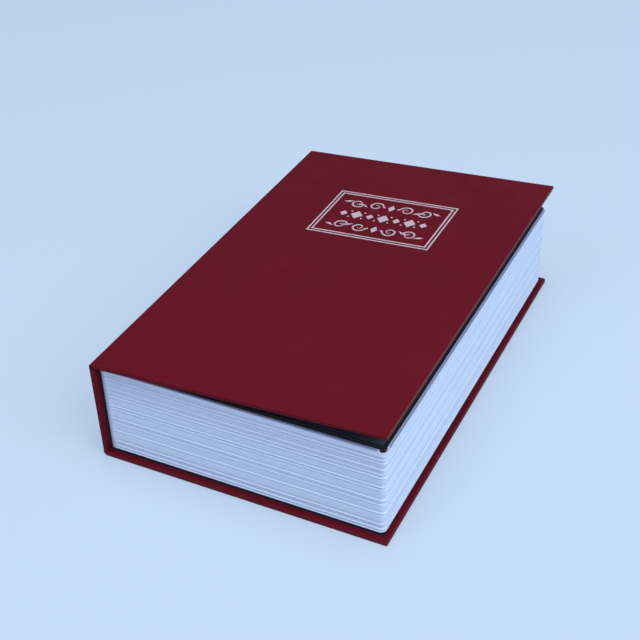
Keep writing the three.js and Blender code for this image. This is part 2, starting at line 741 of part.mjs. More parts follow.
function buildCam() {
  const half = CAM_WIDTH / 2;
  const hub = post(lockX, 0, camBottom, camTop, half, ROUND_STEPS);
  const arm = block(lockX - half, lockX + half, 0, CAM_REACH, camBottom, camTop);
  const side = TAIL_SIDE / 2 + TAIL_GAP;
  const hole = block(lockX - side, lockX + side, -side, side, camBottom - OVERRUN, camTop + OVERRUN);
  return hub.add(arm).subtract(hole);
}

function buildCamWasher() {
  const z0 = camBottom - CAM_WASHER;
  const disc = post(lockX, 0, z0, camBottom, CAM_WASHER_RADIUS, ROUND_STEPS);
  return disc.subtract(plugScrewHole(z0 - OVERRUN));
}

function buildCamScrew() {
  const headTop = camBottom - CAM_WASHER;
  const head = post(lockX, 0, headTop - CAM_SCREW_HEAD, headTop, CAM_SCREW_HEAD_RADIUS, SMALL_STEPS);
  const tip = camBottom + CAM_SCREW_LENGTH - TAIL_GAP;
  const shank = post(lockX, 0, headTop - WELD, tip, CAM_SCREW_RADIUS, SMALL_STEPS);
  const width = CAM_SCREW_HEAD_RADIUS / 4;
  const slotTop = headTop - CAM_SCREW_HEAD / 2;
  const reach = CAM_SCREW_HEAD_RADIUS + OVERRUN;
  const slotLow = headTop - CAM_SCREW_HEAD - OVERRUN;
  const slot = block(lockX - reach, lockX + reach, -width, width, slotLow, slotTop);
  return head.add(shank).subtract(slot);
}

function buildCatch() {
  const leafLow = camTop + CATCH_TO_CAM;
  const wallX = trayForeX - SHEET;
  const y = CATCH_LENGTH / 2;
  const leaf = block(wallX - CATCH_REACH, wallX, -y, y, leafLow, leafLow + CATCH);
  const foot = block(wallX - CATCH, wallX, -y, y, leafLow - CATCH_DROP, leafLow + CATCH);
  return leaf.add(foot);
}

function addLid() {
  place(book, "lid", buildLid(), darkPaint);
  [-1, 1].forEach((side, i) => addHinge(book, i + 1, side));
  place(book, "lock_housing", buildHousing(), chrome);
  place(book, "lock_nut", buildLockNut(), zincSteel);
  place(book, "lock_plug", buildPlug(), chrome);
  for (let k = 0; k < WAFERS; k++) {
    place(book, "lock_wafer_" + (k + 1), buildWafer(k), brassPlate);
  }
  place(book, "lock_cam", buildCam(), zincSteel);
  place(book, "cam_washer", buildCamWasher(), zincSteel);
  place(book, "cam_screw", buildCamScrew(), zincSteel);
  place(book, "lock_catch", buildCatch(), zincSteel);
}

// Key, in its own frame: x along the blade from the centre of the ring slot, lying flat
const keyEndX = -(KEY_SLOT_WIDTH / 2 + KEY_BAR);
const keyNeckX = keyEndX + KEY_HEAD_LENGTH;
const keyTipX = keyNeckX + KEY_BLADE_LENGTH;

function keyHeadOutline(inset) {
  const half = KEY_HEAD_WIDTH / 2 - inset;
  const radius = KEY_HEAD_RADIUS - inset;
  const x0 = keyEndX + inset;
  const x1 = keyNeckX - inset;
  const shape = new THREE.Shape();
  shape.moveTo(x0, -half + radius);
  shape.absarc(x0 + radius, -half + radius, radius, Math.PI, 1.5 * Math.PI);
  shape.lineTo(x1 - KEY_NECK_CHAMFER, -half);
  shape.lineTo(x1, -half + KEY_NECK_CHAMFER);
  shape.lineTo(x1, half - KEY_NECK_CHAMFER);
  shape.lineTo(x1 - KEY_NECK_CHAMFER, half);
  shape.lineTo(x0 + radius, half);
  shape.absarc(x0 + radius, half - radius, radius, Math.PI / 2, Math.PI);
  return shape;
}

function keyPanel(z0, z1) {
  const x0 = KEY_SLOT_WIDTH / 2 + KEY_PANEL_MARGIN;
  const half = KEY_HEAD_WIDTH / 2 - KEY_PANEL_MARGIN;
  const shape = roundedRectangle(x0, keyNeckX - KEY_PANEL_MARGIN, -half, half, KEY_PANEL_MARGIN);
  return prism(shape, z0, z1);
}

function tangWidth(gap) {
  return KEY_BIT_WIDTH / 2 + gap;
}

function buildKeyHead() {
  const half = KEY_HEAD / 2;
  const shape = keyHeadOutline(0);
  const slotHalf = KEY_SLOT_LENGTH / 2;
  const width = KEY_SLOT_WIDTH / 2;
  const slotShape = roundedRectangle(-width, width, -slotHalf, slotHalf, KEY_SLOT_RADIUS);
  const slot = prism(slotShape, -half - OVERRUN, half + OVERRUN);
  const upperPanel = keyPanel(half - KEY_PANEL_DEPTH, half + OVERRUN);
  const lowerPanel = keyPanel(-half - OVERRUN, KEY_PANEL_DEPTH - half);
  const thick = KEY_BLADE / 2 + KEY_TANG_GAP;
  const wide = tangWidth(KEY_TANG_GAP);
  const tangX = keyNeckX - KEY_TANG_LENGTH - KEY_TANG_GAP;
  const pocket = block(tangX, keyNeckX + OVERRUN, -wide, wide, -thick, thick);
  return cut(prism(shape, -half, half), [slot, upperPanel, lowerPanel, pocket]);
}

// Blade edge: cuts of varied depth on both edges, then a rounded tip
function bladeEdge() {
  const half = KEY_BIT_WIDTH / 2;
  const start = keyNeckX + KEY_TANG_GAP + KEY_SHOULDER_LENGTH;
  const run = keyTipX - half - start;
  const points = [[start, half]];
  for (let k = 0; k < KEY_BITS; k++) {
    const swing = Math.sin(KEY_BIT_RAD * k + 1) - 1;
    const depth = KEY_BIT_DEPTH * (1 + keyBitDepthShare * swing);
    for (const share of keyBitFloorShares) {
      points.push([start + (run * (k + share)) / KEY_BITS, half - depth]);
    }
    points.push([start + (run * (k + 1)) / KEY_BITS, half]);
  }
  return points;
}

function bladeOutline() {
  const half = KEY_BIT_WIDTH / 2;
  const edge = bladeEdge();
  const tang = tangWidth(0);
  const shoulder = KEY_SHOULDER_WIDTH / 2;
  const neck = keyNeckX + KEY_TANG_GAP;
  const shape = new THREE.Shape();
  shape.moveTo(keyNeckX - KEY_TANG_LENGTH, -tang);
  shape.lineTo(neck, -tang);
  shape.lineTo(neck, -shoulder);
  shape.lineTo(neck + KEY_SHOULDER_LENGTH, -shoulder);
  edge.forEach(([x, y]) => shape.lineTo(x, -y));
  shape.absarc(keyTipX - half, 0, half, -Math.PI / 2, Math.PI / 2);
  edge.reverse().forEach(([x, y]) => shape.lineTo(x, y));
  shape.lineTo(neck + KEY_SHOULDER_LENGTH, shoulder);
  shape.lineTo(neck, shoulder);
  shape.lineTo(neck, tang);
  shape.lineTo(keyNeckX - KEY_TANG_LENGTH, tang);
  return shape;
}

function buildKeyBlade() {
  const half = KEY_BLADE / 2;
  const x0 = keyNeckX + KEY_SHOULDER_LENGTH / 2;
  const x1 = keyTipX - KEY_BIT_WIDTH / 2;
  const grooves = [-1, 1].map((side) => {
    const y = side * KEY_GROOVE_OFFSET;
    const z0 = side > 0 ? half - KEY_GROOVE_DEPTH : -half - OVERRUN;
    const z1 = side > 0 ? half + OVERRUN : KEY_GROOVE_DEPTH - half;
    return block(x0, x1, y - KEY_GROOVE_WIDTH / 2, y + KEY_GROOVE_WIDTH / 2, z0, z1);
  });
  return cut(prism(bladeOutline(), -half, half), grooves);
}

// Split ring: one wire wound in turns side by side, flat ends together
function ringPoint(turn, radius) {
  const angle = 2 * Math.PI * turn;
  const z = RING_PITCH * (turn - RING_TURNS / 2);
  return new THREE.Vector3(radius * Math.cos(angle), radius * Math.sin(angle), z);
}

function buildRing() {
  const steps = RING_TURNS * RING_STEPS;
  const positions = [];
  const indices = [];
  for (let i = 0; i <= steps; i++) {
    const turn = i / RING_STEPS;
    for (let j = 0; j < RING_SIDES; j++) {
      const angle = (2 * Math.PI * j) / RING_SIDES;
      const point = ringPoint(turn, RING_RADIUS + (RING_WIRE / 2) * Math.cos(angle));
      positions.push(point.x, point.y, point.z + (RING_WIRE / 2) * Math.sin(angle));
    }
  }
  for (let i = 0; i < steps; i++) {
    for (let j = 0; j < RING_SIDES; j++) {
      const low = i * RING_SIDES + j;
      const next = i * RING_SIDES + ((j + 1) % RING_SIDES);
      indices.push(low, next + RING_SIDES, next, low, low + RING_SIDES, next + RING_SIDES);
    }
  }
  const end = steps * RING_SIDES;
  for (let j = 1; j + 1 < RING_SIDES; j++) {
    indices.push(0, j, j + 1, end, end + j + 1, end + j);
  }
  const geometry = new THREE.BufferGeometry();
  geometry.setAttribute("position", new THREE.Float32BufferAttribute(positions, 3));
  geometry.setIndex(indices);
  return solidOf(geometry);
}

// Least gap between turns, measured on points of the wire's centre line
function ringLeastGap() {
  const steps = RING_TURNS * RING_STEPS;
  let least = Infinity;
  for (let i = 0; i <= steps; i++) {
    for (let k = i + RING_STEPS / 2; k <= steps; k++) {
      const a = ringPoint(i / RING_STEPS, RING_RADIUS);
      least = Math.min(least, a.distanceTo(ringPoint(k / RING_STEPS, RING_RADIUS)) - RING_WIRE);
    }
  }
  return least;
}

function addKeys() {
  const keysX = trayForeX - SHEET - KEY_FROM_WALL;
  const lean = THREE.MathUtils.degToRad(RING_LEAN_DEG);
  const ringWide = (RING_PITCH * RING_TURNS + RING_WIRE) / 2;
  const ringReach = (RING_RADIUS + RING_WIRE / 2) * Math.sin(lean);
  const ringRise = ringReach + ringWide * Math.cos(lean) + RING_TO_FLOOR;
  const ring = new THREE.Group();
  ring.position.set(keysX, 0, trayFloor + ringRise);
  ring.rotation.y = -lean;
  book.add(ring);
  place(ring, "key_ring", buildRing(), nickel);

  const slotY = keyEndX + KEY_HEAD_LENGTH / 2;
  const droop = Math.asin((KEY_RAISE - KEY_TIP_RAISE) / (keyTipX - slotY));
  [1, -1].forEach((side, i) => {
    const key = new THREE.Group();
    const slotFromRing = RING_RADIUS - KEY_SLOT_WIDTH / 2 + RING_WIRE;
    const keyX = keysX - (ringRise - KEY_RAISE - KEY_HEAD / 2) / Math.tan(lean);
    key.position.set(keyX, side * slotFromRing, trayFloor + KEY_RAISE + KEY_HEAD / 2);
    key.rotation.set(0, droop, (side * Math.PI) / 2, "ZYX");
    book.add(key);
    place(key, "key_" + (i + 1) + "_head", buildKeyHead(), blackPlastic);
    place(key, "key_" + (i + 1) + "_blade", buildKeyBlade(), nickel);
  });
}

const leastGap = ringLeastGap();
console.log("least gap between the turns of the key ring: " + leastGap.toFixed(2) + " mm");
if (leastGap < RING_LEAST_GAP) throw new Error("the turns of the key ring lie too close");

addCase();
addFrontCover();
addBox();
addLid();
addKeys();

export default book;
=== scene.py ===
# Book diversion safe: the looks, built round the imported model. Metres, +Z up.
# +X runs from the spine to the fore-edge, +Y from tail to head.
import json
import math

import bmesh
import bpy
from mathutils import Matrix, Vector


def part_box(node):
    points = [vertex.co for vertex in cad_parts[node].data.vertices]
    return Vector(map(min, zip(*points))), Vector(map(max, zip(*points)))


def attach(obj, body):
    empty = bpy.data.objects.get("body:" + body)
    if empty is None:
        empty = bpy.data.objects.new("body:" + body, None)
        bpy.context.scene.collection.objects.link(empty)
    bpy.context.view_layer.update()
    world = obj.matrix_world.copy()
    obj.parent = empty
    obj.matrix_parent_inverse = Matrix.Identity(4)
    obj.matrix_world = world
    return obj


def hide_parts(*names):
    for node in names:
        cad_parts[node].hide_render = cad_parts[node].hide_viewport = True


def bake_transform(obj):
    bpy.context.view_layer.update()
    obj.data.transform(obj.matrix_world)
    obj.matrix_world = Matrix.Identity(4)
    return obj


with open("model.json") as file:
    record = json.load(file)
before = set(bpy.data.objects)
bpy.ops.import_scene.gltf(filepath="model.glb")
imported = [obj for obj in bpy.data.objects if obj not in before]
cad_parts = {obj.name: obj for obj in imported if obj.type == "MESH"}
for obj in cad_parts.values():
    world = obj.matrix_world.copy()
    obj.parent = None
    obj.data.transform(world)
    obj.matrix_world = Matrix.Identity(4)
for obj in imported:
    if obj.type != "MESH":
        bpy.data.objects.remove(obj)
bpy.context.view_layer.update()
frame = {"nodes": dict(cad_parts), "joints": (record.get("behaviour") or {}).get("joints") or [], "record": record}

MM = 0.001

# Driving sizes, read from the frame where a node or joint holds them
joints = {j["name"]: j for j in frame["joints"]}
cover_axis = Vector(joints["cover_hinge"]["pos_m"])
case_low, case_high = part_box("base_cloth")
front_low, front_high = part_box("front_cloth")
shell_low, shell_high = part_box("page_shell")
lid_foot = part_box("lid")[0].z
spine_x = case_low.x
fore_x = case_high.x
head_y = case_high.y
width = fore_x - spine_x
cover = shell_low.z
tilt = math.asin((front_high.z - cover_axis.z) / width)
spine_top = case_high.z

# The front cover's thickness, from the low edge of its cloth, which starts just past the fold
HINGE_START = 0.6 * MM
front = (cover_axis.z + HINGE_START * math.sin(tilt) - front_low.z) / math.cos(tilt)

# Cloth of the case and of the front cover
CLOTH = 0.4 * MM
EDGE_ROUND = 0.5 * MM
ROUND_SEGMENTS = 3
SOFT_SEGMENTS = 2
FOOT_ROUND = 2.5 * MM
FOOT_STEPS = 12
HINGE_LAP = 1.2 * MM
HINGE_ROUND = 0.9 * MM
HINGE_STEPS = 8
BOARD_START = 1.4 * MM
LINING_PROUD = 0.22 * MM

# Turned-in cloth
TURN_IN = 14 * MM
LINING_BORDER = 4.2 * MM
FLAP = 0.12 * MM
FLAP_GAP = 0.12 * MM
FRONT_FLAP_START = BOARD_START + 1 * MM
BACK_FLAP_START = 2 * MM
BACK_FLAP_PROUD = 0.05 * MM

# Angles in degrees past which an edge stays sharp
SHARP = 35
SHARP_CLOTH = 40
SHARP_ROUND = 50

# Camera of the photograph, which is square, and the camera's sensor side in millimetres
PHOTO_SIDE_PX = 640
FOCAL_PX = 1214.9
SENSOR_SIDE = 36
CAMERA_PLACE = Vector((0.23156, -0.48344, 0.40433))
CAMERA_RIGHT = Vector((0.89965, 0.4358, -0.02669))
CAMERA_DOWN = Vector((0.23096, -0.52687, -0.81796))
CLIP_START = 20 * MM
CLIP_END = 50


# Small helpers for meshes
def link(obj):
    bpy.context.scene.collection.objects.link(obj)
    return obj


def mesh_object(name, vertices, faces):
    mesh = bpy.data.meshes.new(name)
    mesh.from_pydata([tuple(v) for v in vertices], [], faces)
    mesh.validate()
    obj = link(bpy.data.objects.new(name, mesh))
    tidy_normals(obj)
    return obj


def tidy_normals(obj):
    bm = bmesh.new()
    bm.from_mesh(obj.data)
    bmesh.ops.recalc_face_normals(bm, faces=bm.faces)
    bm.to_mesh(obj.data)
    bm.free()


def shade(obj, angle=SHARP):
    for polygon in obj.data.polygons:
        polygon.use_smooth = True
    obj.data.set_sharp_from_angle(angle=math.radians(angle))


def soften(obj, radius):
    """Rounds an object's sharp edges by a modifier, and evens the normals round them."""
    bevel = obj.modifiers.new("soft_edges", "BEVEL")
    bevel.width = radius
    bevel.segments = SOFT_SEGMENTS
    bevel.limit_method = "ANGLE"
    bevel.angle_limit = math.radians(SHARP)
    bevel.use_clamp_overlap = True
    bevel.harden_normals = False
    weighted = obj.modifiers.new("even_normals", "WEIGHTED_NORMAL")
    weighted.keep_sharp = True


def rings_to_mesh(name, rings):
    """Joins equal closed rings of points with quads, and fills the first and last ring."""
    count = len(rings[0])
    vertices = [p for ring in rings for p in ring]
    faces = []
    for i in range(len(rings) - 1):
        low = i * count
        high = low + count
        for j in range(count):
            k = (j + 1) % count
            faces.append((low + j, low + k, high + k, high + j))
    faces.append(tuple(range(count)))
    faces.append(tuple(range((len(rings) - 1) * count, len(rings) * count)))
    return mesh_object(name, vertices, faces)


def arc(cx, cz, radius, start, end, steps):
    """Points of an arc from one angle in degrees to another, as (x, z) pairs."""
    points = []
    for k in range(steps + 1):
        turn = math.radians(start + (end - start) * k / steps)
        points.append((cx + radius * math.cos(turn), cz + radius * math.sin(turn)))
    return points


def bake(obj):
    """Makes the shape that an object's modifiers give it its own mesh."""
    bpy.context.view_layer.update()
    evaluated = obj.evaluated_get(bpy.context.evaluated_depsgraph_get())
    mesh = bpy.data.meshes.new_from_object(evaluated)
    obj.modifiers.clear()
    obj.data = mesh
    return obj


def box_object(name, low, high):
    (x0, y0, z0), (x1, y1, z1) = low, high
    rings = [[(x0, y0, z), (x1, y0, z), (x1, y1, z), (x0, y1, z)] for z in (z0, z1)]
    return rings_to_mesh(name, rings)


def cut_with(obj, cutters):
    for cutter in cutters:
        tool = obj.modifiers.new("cut", "BOOLEAN")
        tool.operation = "DIFFERENCE"
        tool.solver = "EXACT"
        tool.object = cutter
    bake(obj)
    for cutter in cutters:
        bpy.data.objects.remove(cutter, do_unlink=True)
    return obj


def joined(name, parts):
    """One object with the meshes of all the parts, which are removed."""
    bm = bmesh.new()
    for part in parts:
        bm.from_mesh(part.data)
        bpy.data.objects.remove(part, do_unlink=True)
    mesh = bpy.data.meshes.new(name)
    bm.to_mesh(mesh)
    bm.free()
    return link(bpy.data.objects.new(name, mesh))


def round_edges(obj, radius, chosen):
    """Rounds the edges of the mesh for which chosen(edge) holds."""
    bm = bmesh.new()
    bm.from_mesh(obj.data)
    bm.edges.ensure_lookup_table()
    edges = [e for e in bm.edges if e.is_manifold and chosen(e)]
    bmesh.ops.bevel(
        bm, geom=edges, offset=radius, segments=ROUND_SEGMENTS, profile=0.5, affect="EDGES"
    )
    bmesh.ops.recalc_face_normals(bm, faces=bm.faces)
    bm.to_mesh(obj.data)
    bm.free()
    return obj


def plates(name, outlines, z0, z1, turn=None):
    """One object of flat plates, each an outline in x and y between two heights."""
    vertices = []
    faces = []
    for outline in outlines:
        start = len(vertices)
        count = len(outline)
        vertices += [(x, y, z0) for x, y in outline] + [(x, y, z1) for x, y in outline]
        faces.append(tuple(start + j for j in range(count))[::-1])
        faces.append(tuple(start + count + j for j in range(count)))
        for j in range(count):
            k = (j + 1) % count
            faces.append((start + j, start + k, start + count + k, start + count + j))
    obj = mesh_object(name, vertices, faces)
    if turn is not None:
        obj.data.transform(turn)
    return obj


def dress(obj, body, material, slot, *nodes):
    """Gives an object its material and body, and hides the nodes that it stands for; the slot is not used."""
    obj.data.materials.clear()
    obj.data.materials.append(material)
    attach(obj, body)
    if nodes:
        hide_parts(*nodes)
    return obj


# Materials: a finish is a Principled shader with a small graph of noise, wear and bump
def new_material(name, color, roughness, metallic=0.0, **sockets):
    material = bpy.data.materials.new(name)
    material.use_nodes = True
    bsdf = material.node_tree.nodes["Principled BSDF"]
    bsdf.inputs["Base Color"].default_value = (*color, 1)
    bsdf.inputs["Roughness"].default_value = roughness
    bsdf.inputs["Metallic"].default_value = metallic
    for key, value in sockets.items():
        bsdf.inputs[key.replace("_", " ")].default_value = value
    return material


class Graph:
    """Short ways to add nodes to a material."""

    def __init__(self, material):
        self.tree = material.node_tree
        self.bsdf = self.tree.nodes["Principled BSDF"]
        texture_space = self.tree.nodes.new("ShaderNodeTexCoord")
        self.place = texture_space.outputs["Object"]
        self.facing = texture_space.outputs["Normal"]

    def add(self, kind, inputs=None, **settings):
        node = self.tree.nodes.new(kind)
        for key, value in settings.items():
            setattr(node, key, value)
        for key, value in (inputs or {}).items():
            if isinstance(value, bpy.types.NodeSocket):
                self.tree.links.new(value, node.inputs[key])
            else:
                node.inputs[key].default_value = value
        return node

    def stretched(self, x, y, z):
        node = self.add("ShaderNodeMapping", {"Vector": self.place, "Scale": (x, y, z)})
        return node.outputs["Vector"]

    def noise(self, scale, detail=3.0, roughness=0.5, vector=None):
        inputs = {"Vector": vector or self.place, "Scale": scale}
        inputs.update({"Detail": detail, "Roughness": roughness})
        return self.add("ShaderNodeTexNoise", inputs).outputs["Fac"]

    def cells(self, scale):
        inputs = {"Vector": self.place, "Scale": scale}
        return self.add("ShaderNodeTexVoronoi", inputs, feature="SMOOTH_F1").outputs["Distance"]

    def spread(self, value, low, high, out_low=0.0, out_high=1.0):
        """Maps a value from low..high to out_low..out_high, clamped at both ends."""
        inputs = {"Value": value, "From Min": low, "From Max": high}
        inputs.update({"To Min": out_low, "To Max": out_high})
        return self.add("ShaderNodeMapRange", inputs).outputs["Result"]

    def maths(self, operation, a, b=0.0):
        return self.add("ShaderNodeMath", {0: a, 1: b}, operation=operation).outputs[0]

    def mixed(self, share, a, b):
        """Mixes colours a and b, where a share of 1 is all b."""
        node = self.add("ShaderNodeMix", data_type="RGBA")
        for index, value in ((0, share), (6, a), (7, b)):
            if isinstance(value, bpy.types.NodeSocket):
                self.tree.links.new(value, node.inputs[index])
            else:
                node.inputs[index].default_value = (*value, 1) if isinstance(value, tuple) else value
        return node.outputs[2]

    def color(self, value):
        self.tree.links.new(value, self.bsdf.inputs["Base Color"])

    def rough(self, value):
        self.tree.links.new(value, self.bsdf.inputs["Roughness"])

    def bump(self, height, distance, strength=1.0, under=None):
        inputs = {"Height": height, "Distance": distance, "Strength": strength}
        if under is not None:
            inputs["Normal"] = under
        normal = self.add("ShaderNodeBump", inputs).outputs["Normal"]
        self.tree.links.new(normal, self.bsdf.inputs["Normal"])
        return normal


LEATHER_RED = (0.134, 0.0033, 0.0104)
LEATHER_DARK = (0.118, 0.0028, 0.0088)
LEATHER_WORN = (0.21, 0.03, 0.048)
# Painted highlight colour, for the fore-edges and the low end faces of the case
LEATHER_PAINTED_HIGHLIGHT = (0.2, 0.052, 0.066)
LEATHER_GRAIN = 0.035 * MM
LEATHER_WAVES = 0.05 * MM

# Worn cloth and painted highlights: how far in from an end the wear and the painted highlight on the end faces
# start and are full, how far in from the fore-edge the painted highlight along it starts and is full and at which
# heights it grows, and at which heights the painted highlight low on the end faces is full and ends
END_WEAR_AND_HIGHLIGHT_START = 0.7 * MM
END_WEAR_AND_HIGHLIGHT_FULL = 0.1 * MM
FORE_HIGHLIGHT_START = 0.5 * MM
FORE_HIGHLIGHT_FULL = 0.35 * MM
UPPER_HIGHLIGHT_START = 45 * MM
UPPER_HIGHLIGHT_FULL = 50 * MM
FOOT_HIGHLIGHT_FULL = 2.2 * MM
FOOT_HIGHLIGHT_END = 3.2 * MM


def leatherette():
    material = new_material("leatherette", LEATHER_RED, 0.6, Specular_IOR_Level=0.08)
    g = Graph(material)
    grain = g.cells(2300)
    pores = g.noise(5200, 2, 0.6)
    blotch = g.spread(g.noise(26, 4, 0.55), 0.35, 0.68)
    tone = g.mixed(blotch, LEATHER_DARK, LEATHER_RED)
    valley = g.spread(grain, 0.25, 0.75, 0.0, 0.35)
    tone = g.mixed(valley, tone, LEATHER_DARK)
    axes = g.add("ShaderNodeSeparateXYZ", {0: g.place}).outputs
    # The ends carry patchy wear and, low down, a painted highlight
    along = g.maths("ABSOLUTE", axes["Y"])
    end = g.spread(along, head_y - END_WEAR_AND_HIGHLIGHT_START, head_y - END_WEAR_AND_HIGHLIGHT_FULL)
    # Painted highlight along the fore-edge, strong high up on the front cover and faint on the back cover
    fore = g.spread(axes["X"], fore_x - FORE_HIGHLIGHT_START, fore_x - FORE_HIGHLIGHT_FULL)
    upper = g.spread(axes["Z"], UPPER_HIGHLIGHT_START, UPPER_HIGHLIGHT_FULL, 0.15, 0.7)
    rub = g.spread(g.noise(420, 5, 0.7), 0.48, 0.72, 0, 0.2)
    tone = g.mixed(g.maths("MULTIPLY", end, rub), tone, LEATHER_WORN)
    # Painted highlight low on the end faces of the case
    low = g.spread(axes["Z"], FOOT_HIGHLIGHT_FULL, FOOT_HIGHLIGHT_END, 0.12, 0)
    tone = g.mixed(g.maths("MULTIPLY", end, low), tone, LEATHER_PAINTED_HIGHLIGHT)
    g.color(g.mixed(g.maths("MULTIPLY", fore, upper), tone, LEATHER_PAINTED_HIGHLIGHT))
    g.rough(g.spread(g.noise(90, 4, 0.6), 0.3, 0.7, 0.54, 0.68))
    waves = g.bump(g.noise(70, 2, 0.5), LEATHER_WAVES, 0.5)
    g.bump(g.maths("ADD", grain, g.maths("MULTIPLY", pores, 0.5)), LEATHER_GRAIN, 0.6, waves)
    return material


PAGE_WHITE = (0.73, 0.785, 0.88)
PAGE_SHADE = (0.68, 0.74, 0.85)
# The next two colours are painted shade, for the grooves and for the rim
PAGE_GROOVE_PAINTED_SHADE = (0.5, 0.5, 0.69)
PAGE_RIM_SHADE = (0.26, 0.28, 0.4)
PAGE_LEAVES = 0.06 * MM

# Values of the page block's attribute of painted shade, from none on a bare crest, through full painted shade in a
# groove, to the darkest painted shade on top of the rim
GROOVE_TONE_START = 0.1
GROOVE_TONE_FULL = 1.45
RIM_GROOVE_TONE = 0.3
RIM_EDGE_TONE = 3


def page_plastic():
    material = new_material("page_plastic", PAGE_WHITE, 0.5, Specular_IOR_Level=0.35)
    g = Graph(material)
    leaves = g.noise(1, 2, 0.6, g.stretched(8, 8, 2600))
    streaks = g.noise(1, 3, 0.6, g.stretched(18, 18, 900))
    wall_shade = g.add("ShaderNodeAttribute", attribute_name="painted_wall_shade").outputs["Fac"]
    paper = g.mixed(g.spread(streaks, 0.35, 0.7), PAGE_SHADE, PAGE_WHITE)
    # Painted shade: darker in the grooves, and darker still up the rim
    paper = g.mixed(g.spread(wall_shade, GROOVE_TONE_START, GROOVE_TONE_FULL), paper, PAGE_GROOVE_PAINTED_SHADE)
    g.color(g.mixed(g.spread(wall_shade, GROOVE_TONE_FULL, RIM_EDGE_TONE), paper, PAGE_RIM_SHADE))
    g.rough(g.spread(streaks, 0.3, 0.7, 0.42, 0.58))
    g.bump(leaves, PAGE_LEAVES, 0.55)
    return material


SLATE = (0.05, 0.066, 0.08)
SLATE_LIGHT = (0.08, 0.103, 0.124)
# Painted shade for faces that face sideways
SLATE_PAINTED_SHADE = (0.006, 0.0085, 0.011)
COAT_PEEL = 0.05 * MM


def powder_coat():
    material = new_material("powder_coat", SLATE, 0.42, Specular_IOR_Level=0.2)
    g = Graph(material)
    orange_peel = g.noise(1500, 3, 0.55)
    coat = g.mixed(g.spread(g.noise(3600, 2, 0.6), 0.45, 0.75), SLATE, SLATE_LIGHT)
    # Painted shade: faces that face neither straight up nor down, such as the lid's edges, are darkened
    facing_z = g.add("ShaderNodeSeparateXYZ", {0: g.facing}).outputs["Z"]
    level = g.spread(g.maths("ABSOLUTE", facing_z), 0.9, 0.995)
    g.color(g.mixed(level, SLATE_PAINTED_SHADE, coat))
    g.rough(g.spread(g.noise(60, 3, 0.6), 0.3, 0.7, 0.36, 0.5))
    g.bump(orange_peel, COAT_PEEL, 0.7)
    return material


SMEAR_SHARE = 0.4
DULL_SHARE = 0.82
SCRATCHES = 0.006 * MM


def scratched_metal(name, color, roughness):
    material = new_material(name, color, roughness, 1.0)
    g = Graph(material)
    lines = g.noise(1, 3, 0.6, g.stretched(900, 7000, 900))
    smears = g.noise(160, 4, 0.6)
    g.rough(g.spread(smears, 0.3, 0.7, roughness * (1 - SMEAR_SHARE), roughness * (1 + SMEAR_SHARE)))
    dull = tuple(c * DULL_SHARE for c in color)
    g.color(g.mixed(g.spread(g.noise(300, 3, 0.6), 0.4, 0.7), dull, color))
    g.bump(lines, SCRATCHES, 0.35)
    return material


SILVER = (0.8, 0.55, 0.54)
SILVER_LIGHT = (0.81, 0.56, 0.545)
SILVER_FLECK = (0.42, 0.25, 0.28)
FOIL_DENTS = 0.02 * MM


def foil():
    material = new_material("silver_foil", SILVER, 0.4, 0.45)
    g = Graph(material)
    flecks = g.spread(g.noise(1400, 4, 0.7), 0.3, 0.42)
    g.color(g.mixed(flecks, SILVER_FLECK, SILVER_LIGHT))
    g.rough(g.spread(g.noise(500, 3, 0.6), 0.3, 0.7, 0.3, 0.5))
    g.bump(g.cells(2300), FOIL_DENTS, 0.5)
    return material


BLACK_MOULDED = (0.018, 0.02, 0.024)
BLACK_DARK = (0.014, 0.016, 0.02)
BLACK_LIGHT = (0.026, 0.03, 0.036)
MOULD_GRAIN = 0.03 * MM


def moulded_black():
    material = new_material("moulded_black", BLACK_MOULDED, 0.42, Specular_IOR_Level=0.5)
    g = Graph(material)
    grain = g.noise(2600, 3, 0.6)
    g.color(g.mixed(g.spread(g.noise(120, 3, 0.6), 0.35, 0.7), BLACK_DARK, BLACK_LIGHT))
    g.rough(g.spread(g.noise(400, 3, 0.6), 0.3, 0.7, 0.36, 0.52))
    g.bump(grain, MOULD_GRAIN, 0.6)
    return material


PAPER_BLACK = (0.013, 0.01, 0.011)
PAPER_DARK = (0.011, 0.008, 0.009)
PAPER_LIGHT = (0.024, 0.02, 0.022)
PAPER_FIBRES = 0.04 * MM


def lining_paper():
    material = new_material("lining_paper", PAPER_BLACK, 0.8, Specular_IOR_Level=0.2)
    g = Graph(material)
    fibres = g.noise(1, 5, 0.7, g.stretched(900, 2400, 900))
    g.color(g.mixed(g.spread(fibres, 0.4, 0.7), PAPER_DARK, PAPER_LIGHT))
    g.rough(g.spread(fibres, 0.3, 0.7, 0.72, 0.88))
    g.bump(g.maths("ADD", fibres, g.noise(45, 2)), PAPER_FIBRES, 0.5)
    return material


BOARD_GREY = (0.26, 0.235, 0.2)
BOARD_DARK = (0.2, 0.18, 0.155)
BOARD_LIGHT = (0.33, 0.3, 0.26)
BOARD_SPECKS = 0.05 * MM


def board_grey():
    material = new_material("greyboard", BOARD_GREY, 0.9, Specular_IOR_Level=0.2)
    g = Graph(material)
    specks = g.noise(1500, 4, 0.7)
    g.color(g.mixed(g.spread(specks, 0.35, 0.7), BOARD_DARK, BOARD_LIGHT))
    g.bump(specks, BOARD_SPECKS, 0.6)
    return material


LEATHERETTE = leatherette()
PAGE = page_plastic()
PAINT = powder_coat()
CHROME = scratched_metal("lock_chrome", (0.93, 0.94, 0.96), 0.07)
ZINC = scratched_metal("zinc_steel", (0.56, 0.58, 0.6), 0.3)
NICKEL = scratched_metal("key_nickel", (0.6, 0.6, 0.58), 0.36)
BRASS = scratched_metal("wafer_brass", (0.6, 0.42, 0.17), 0.3)
FOIL = foil()
BLACK = moulded_black()
LINING = lining_paper()
BOARD = board_grey()

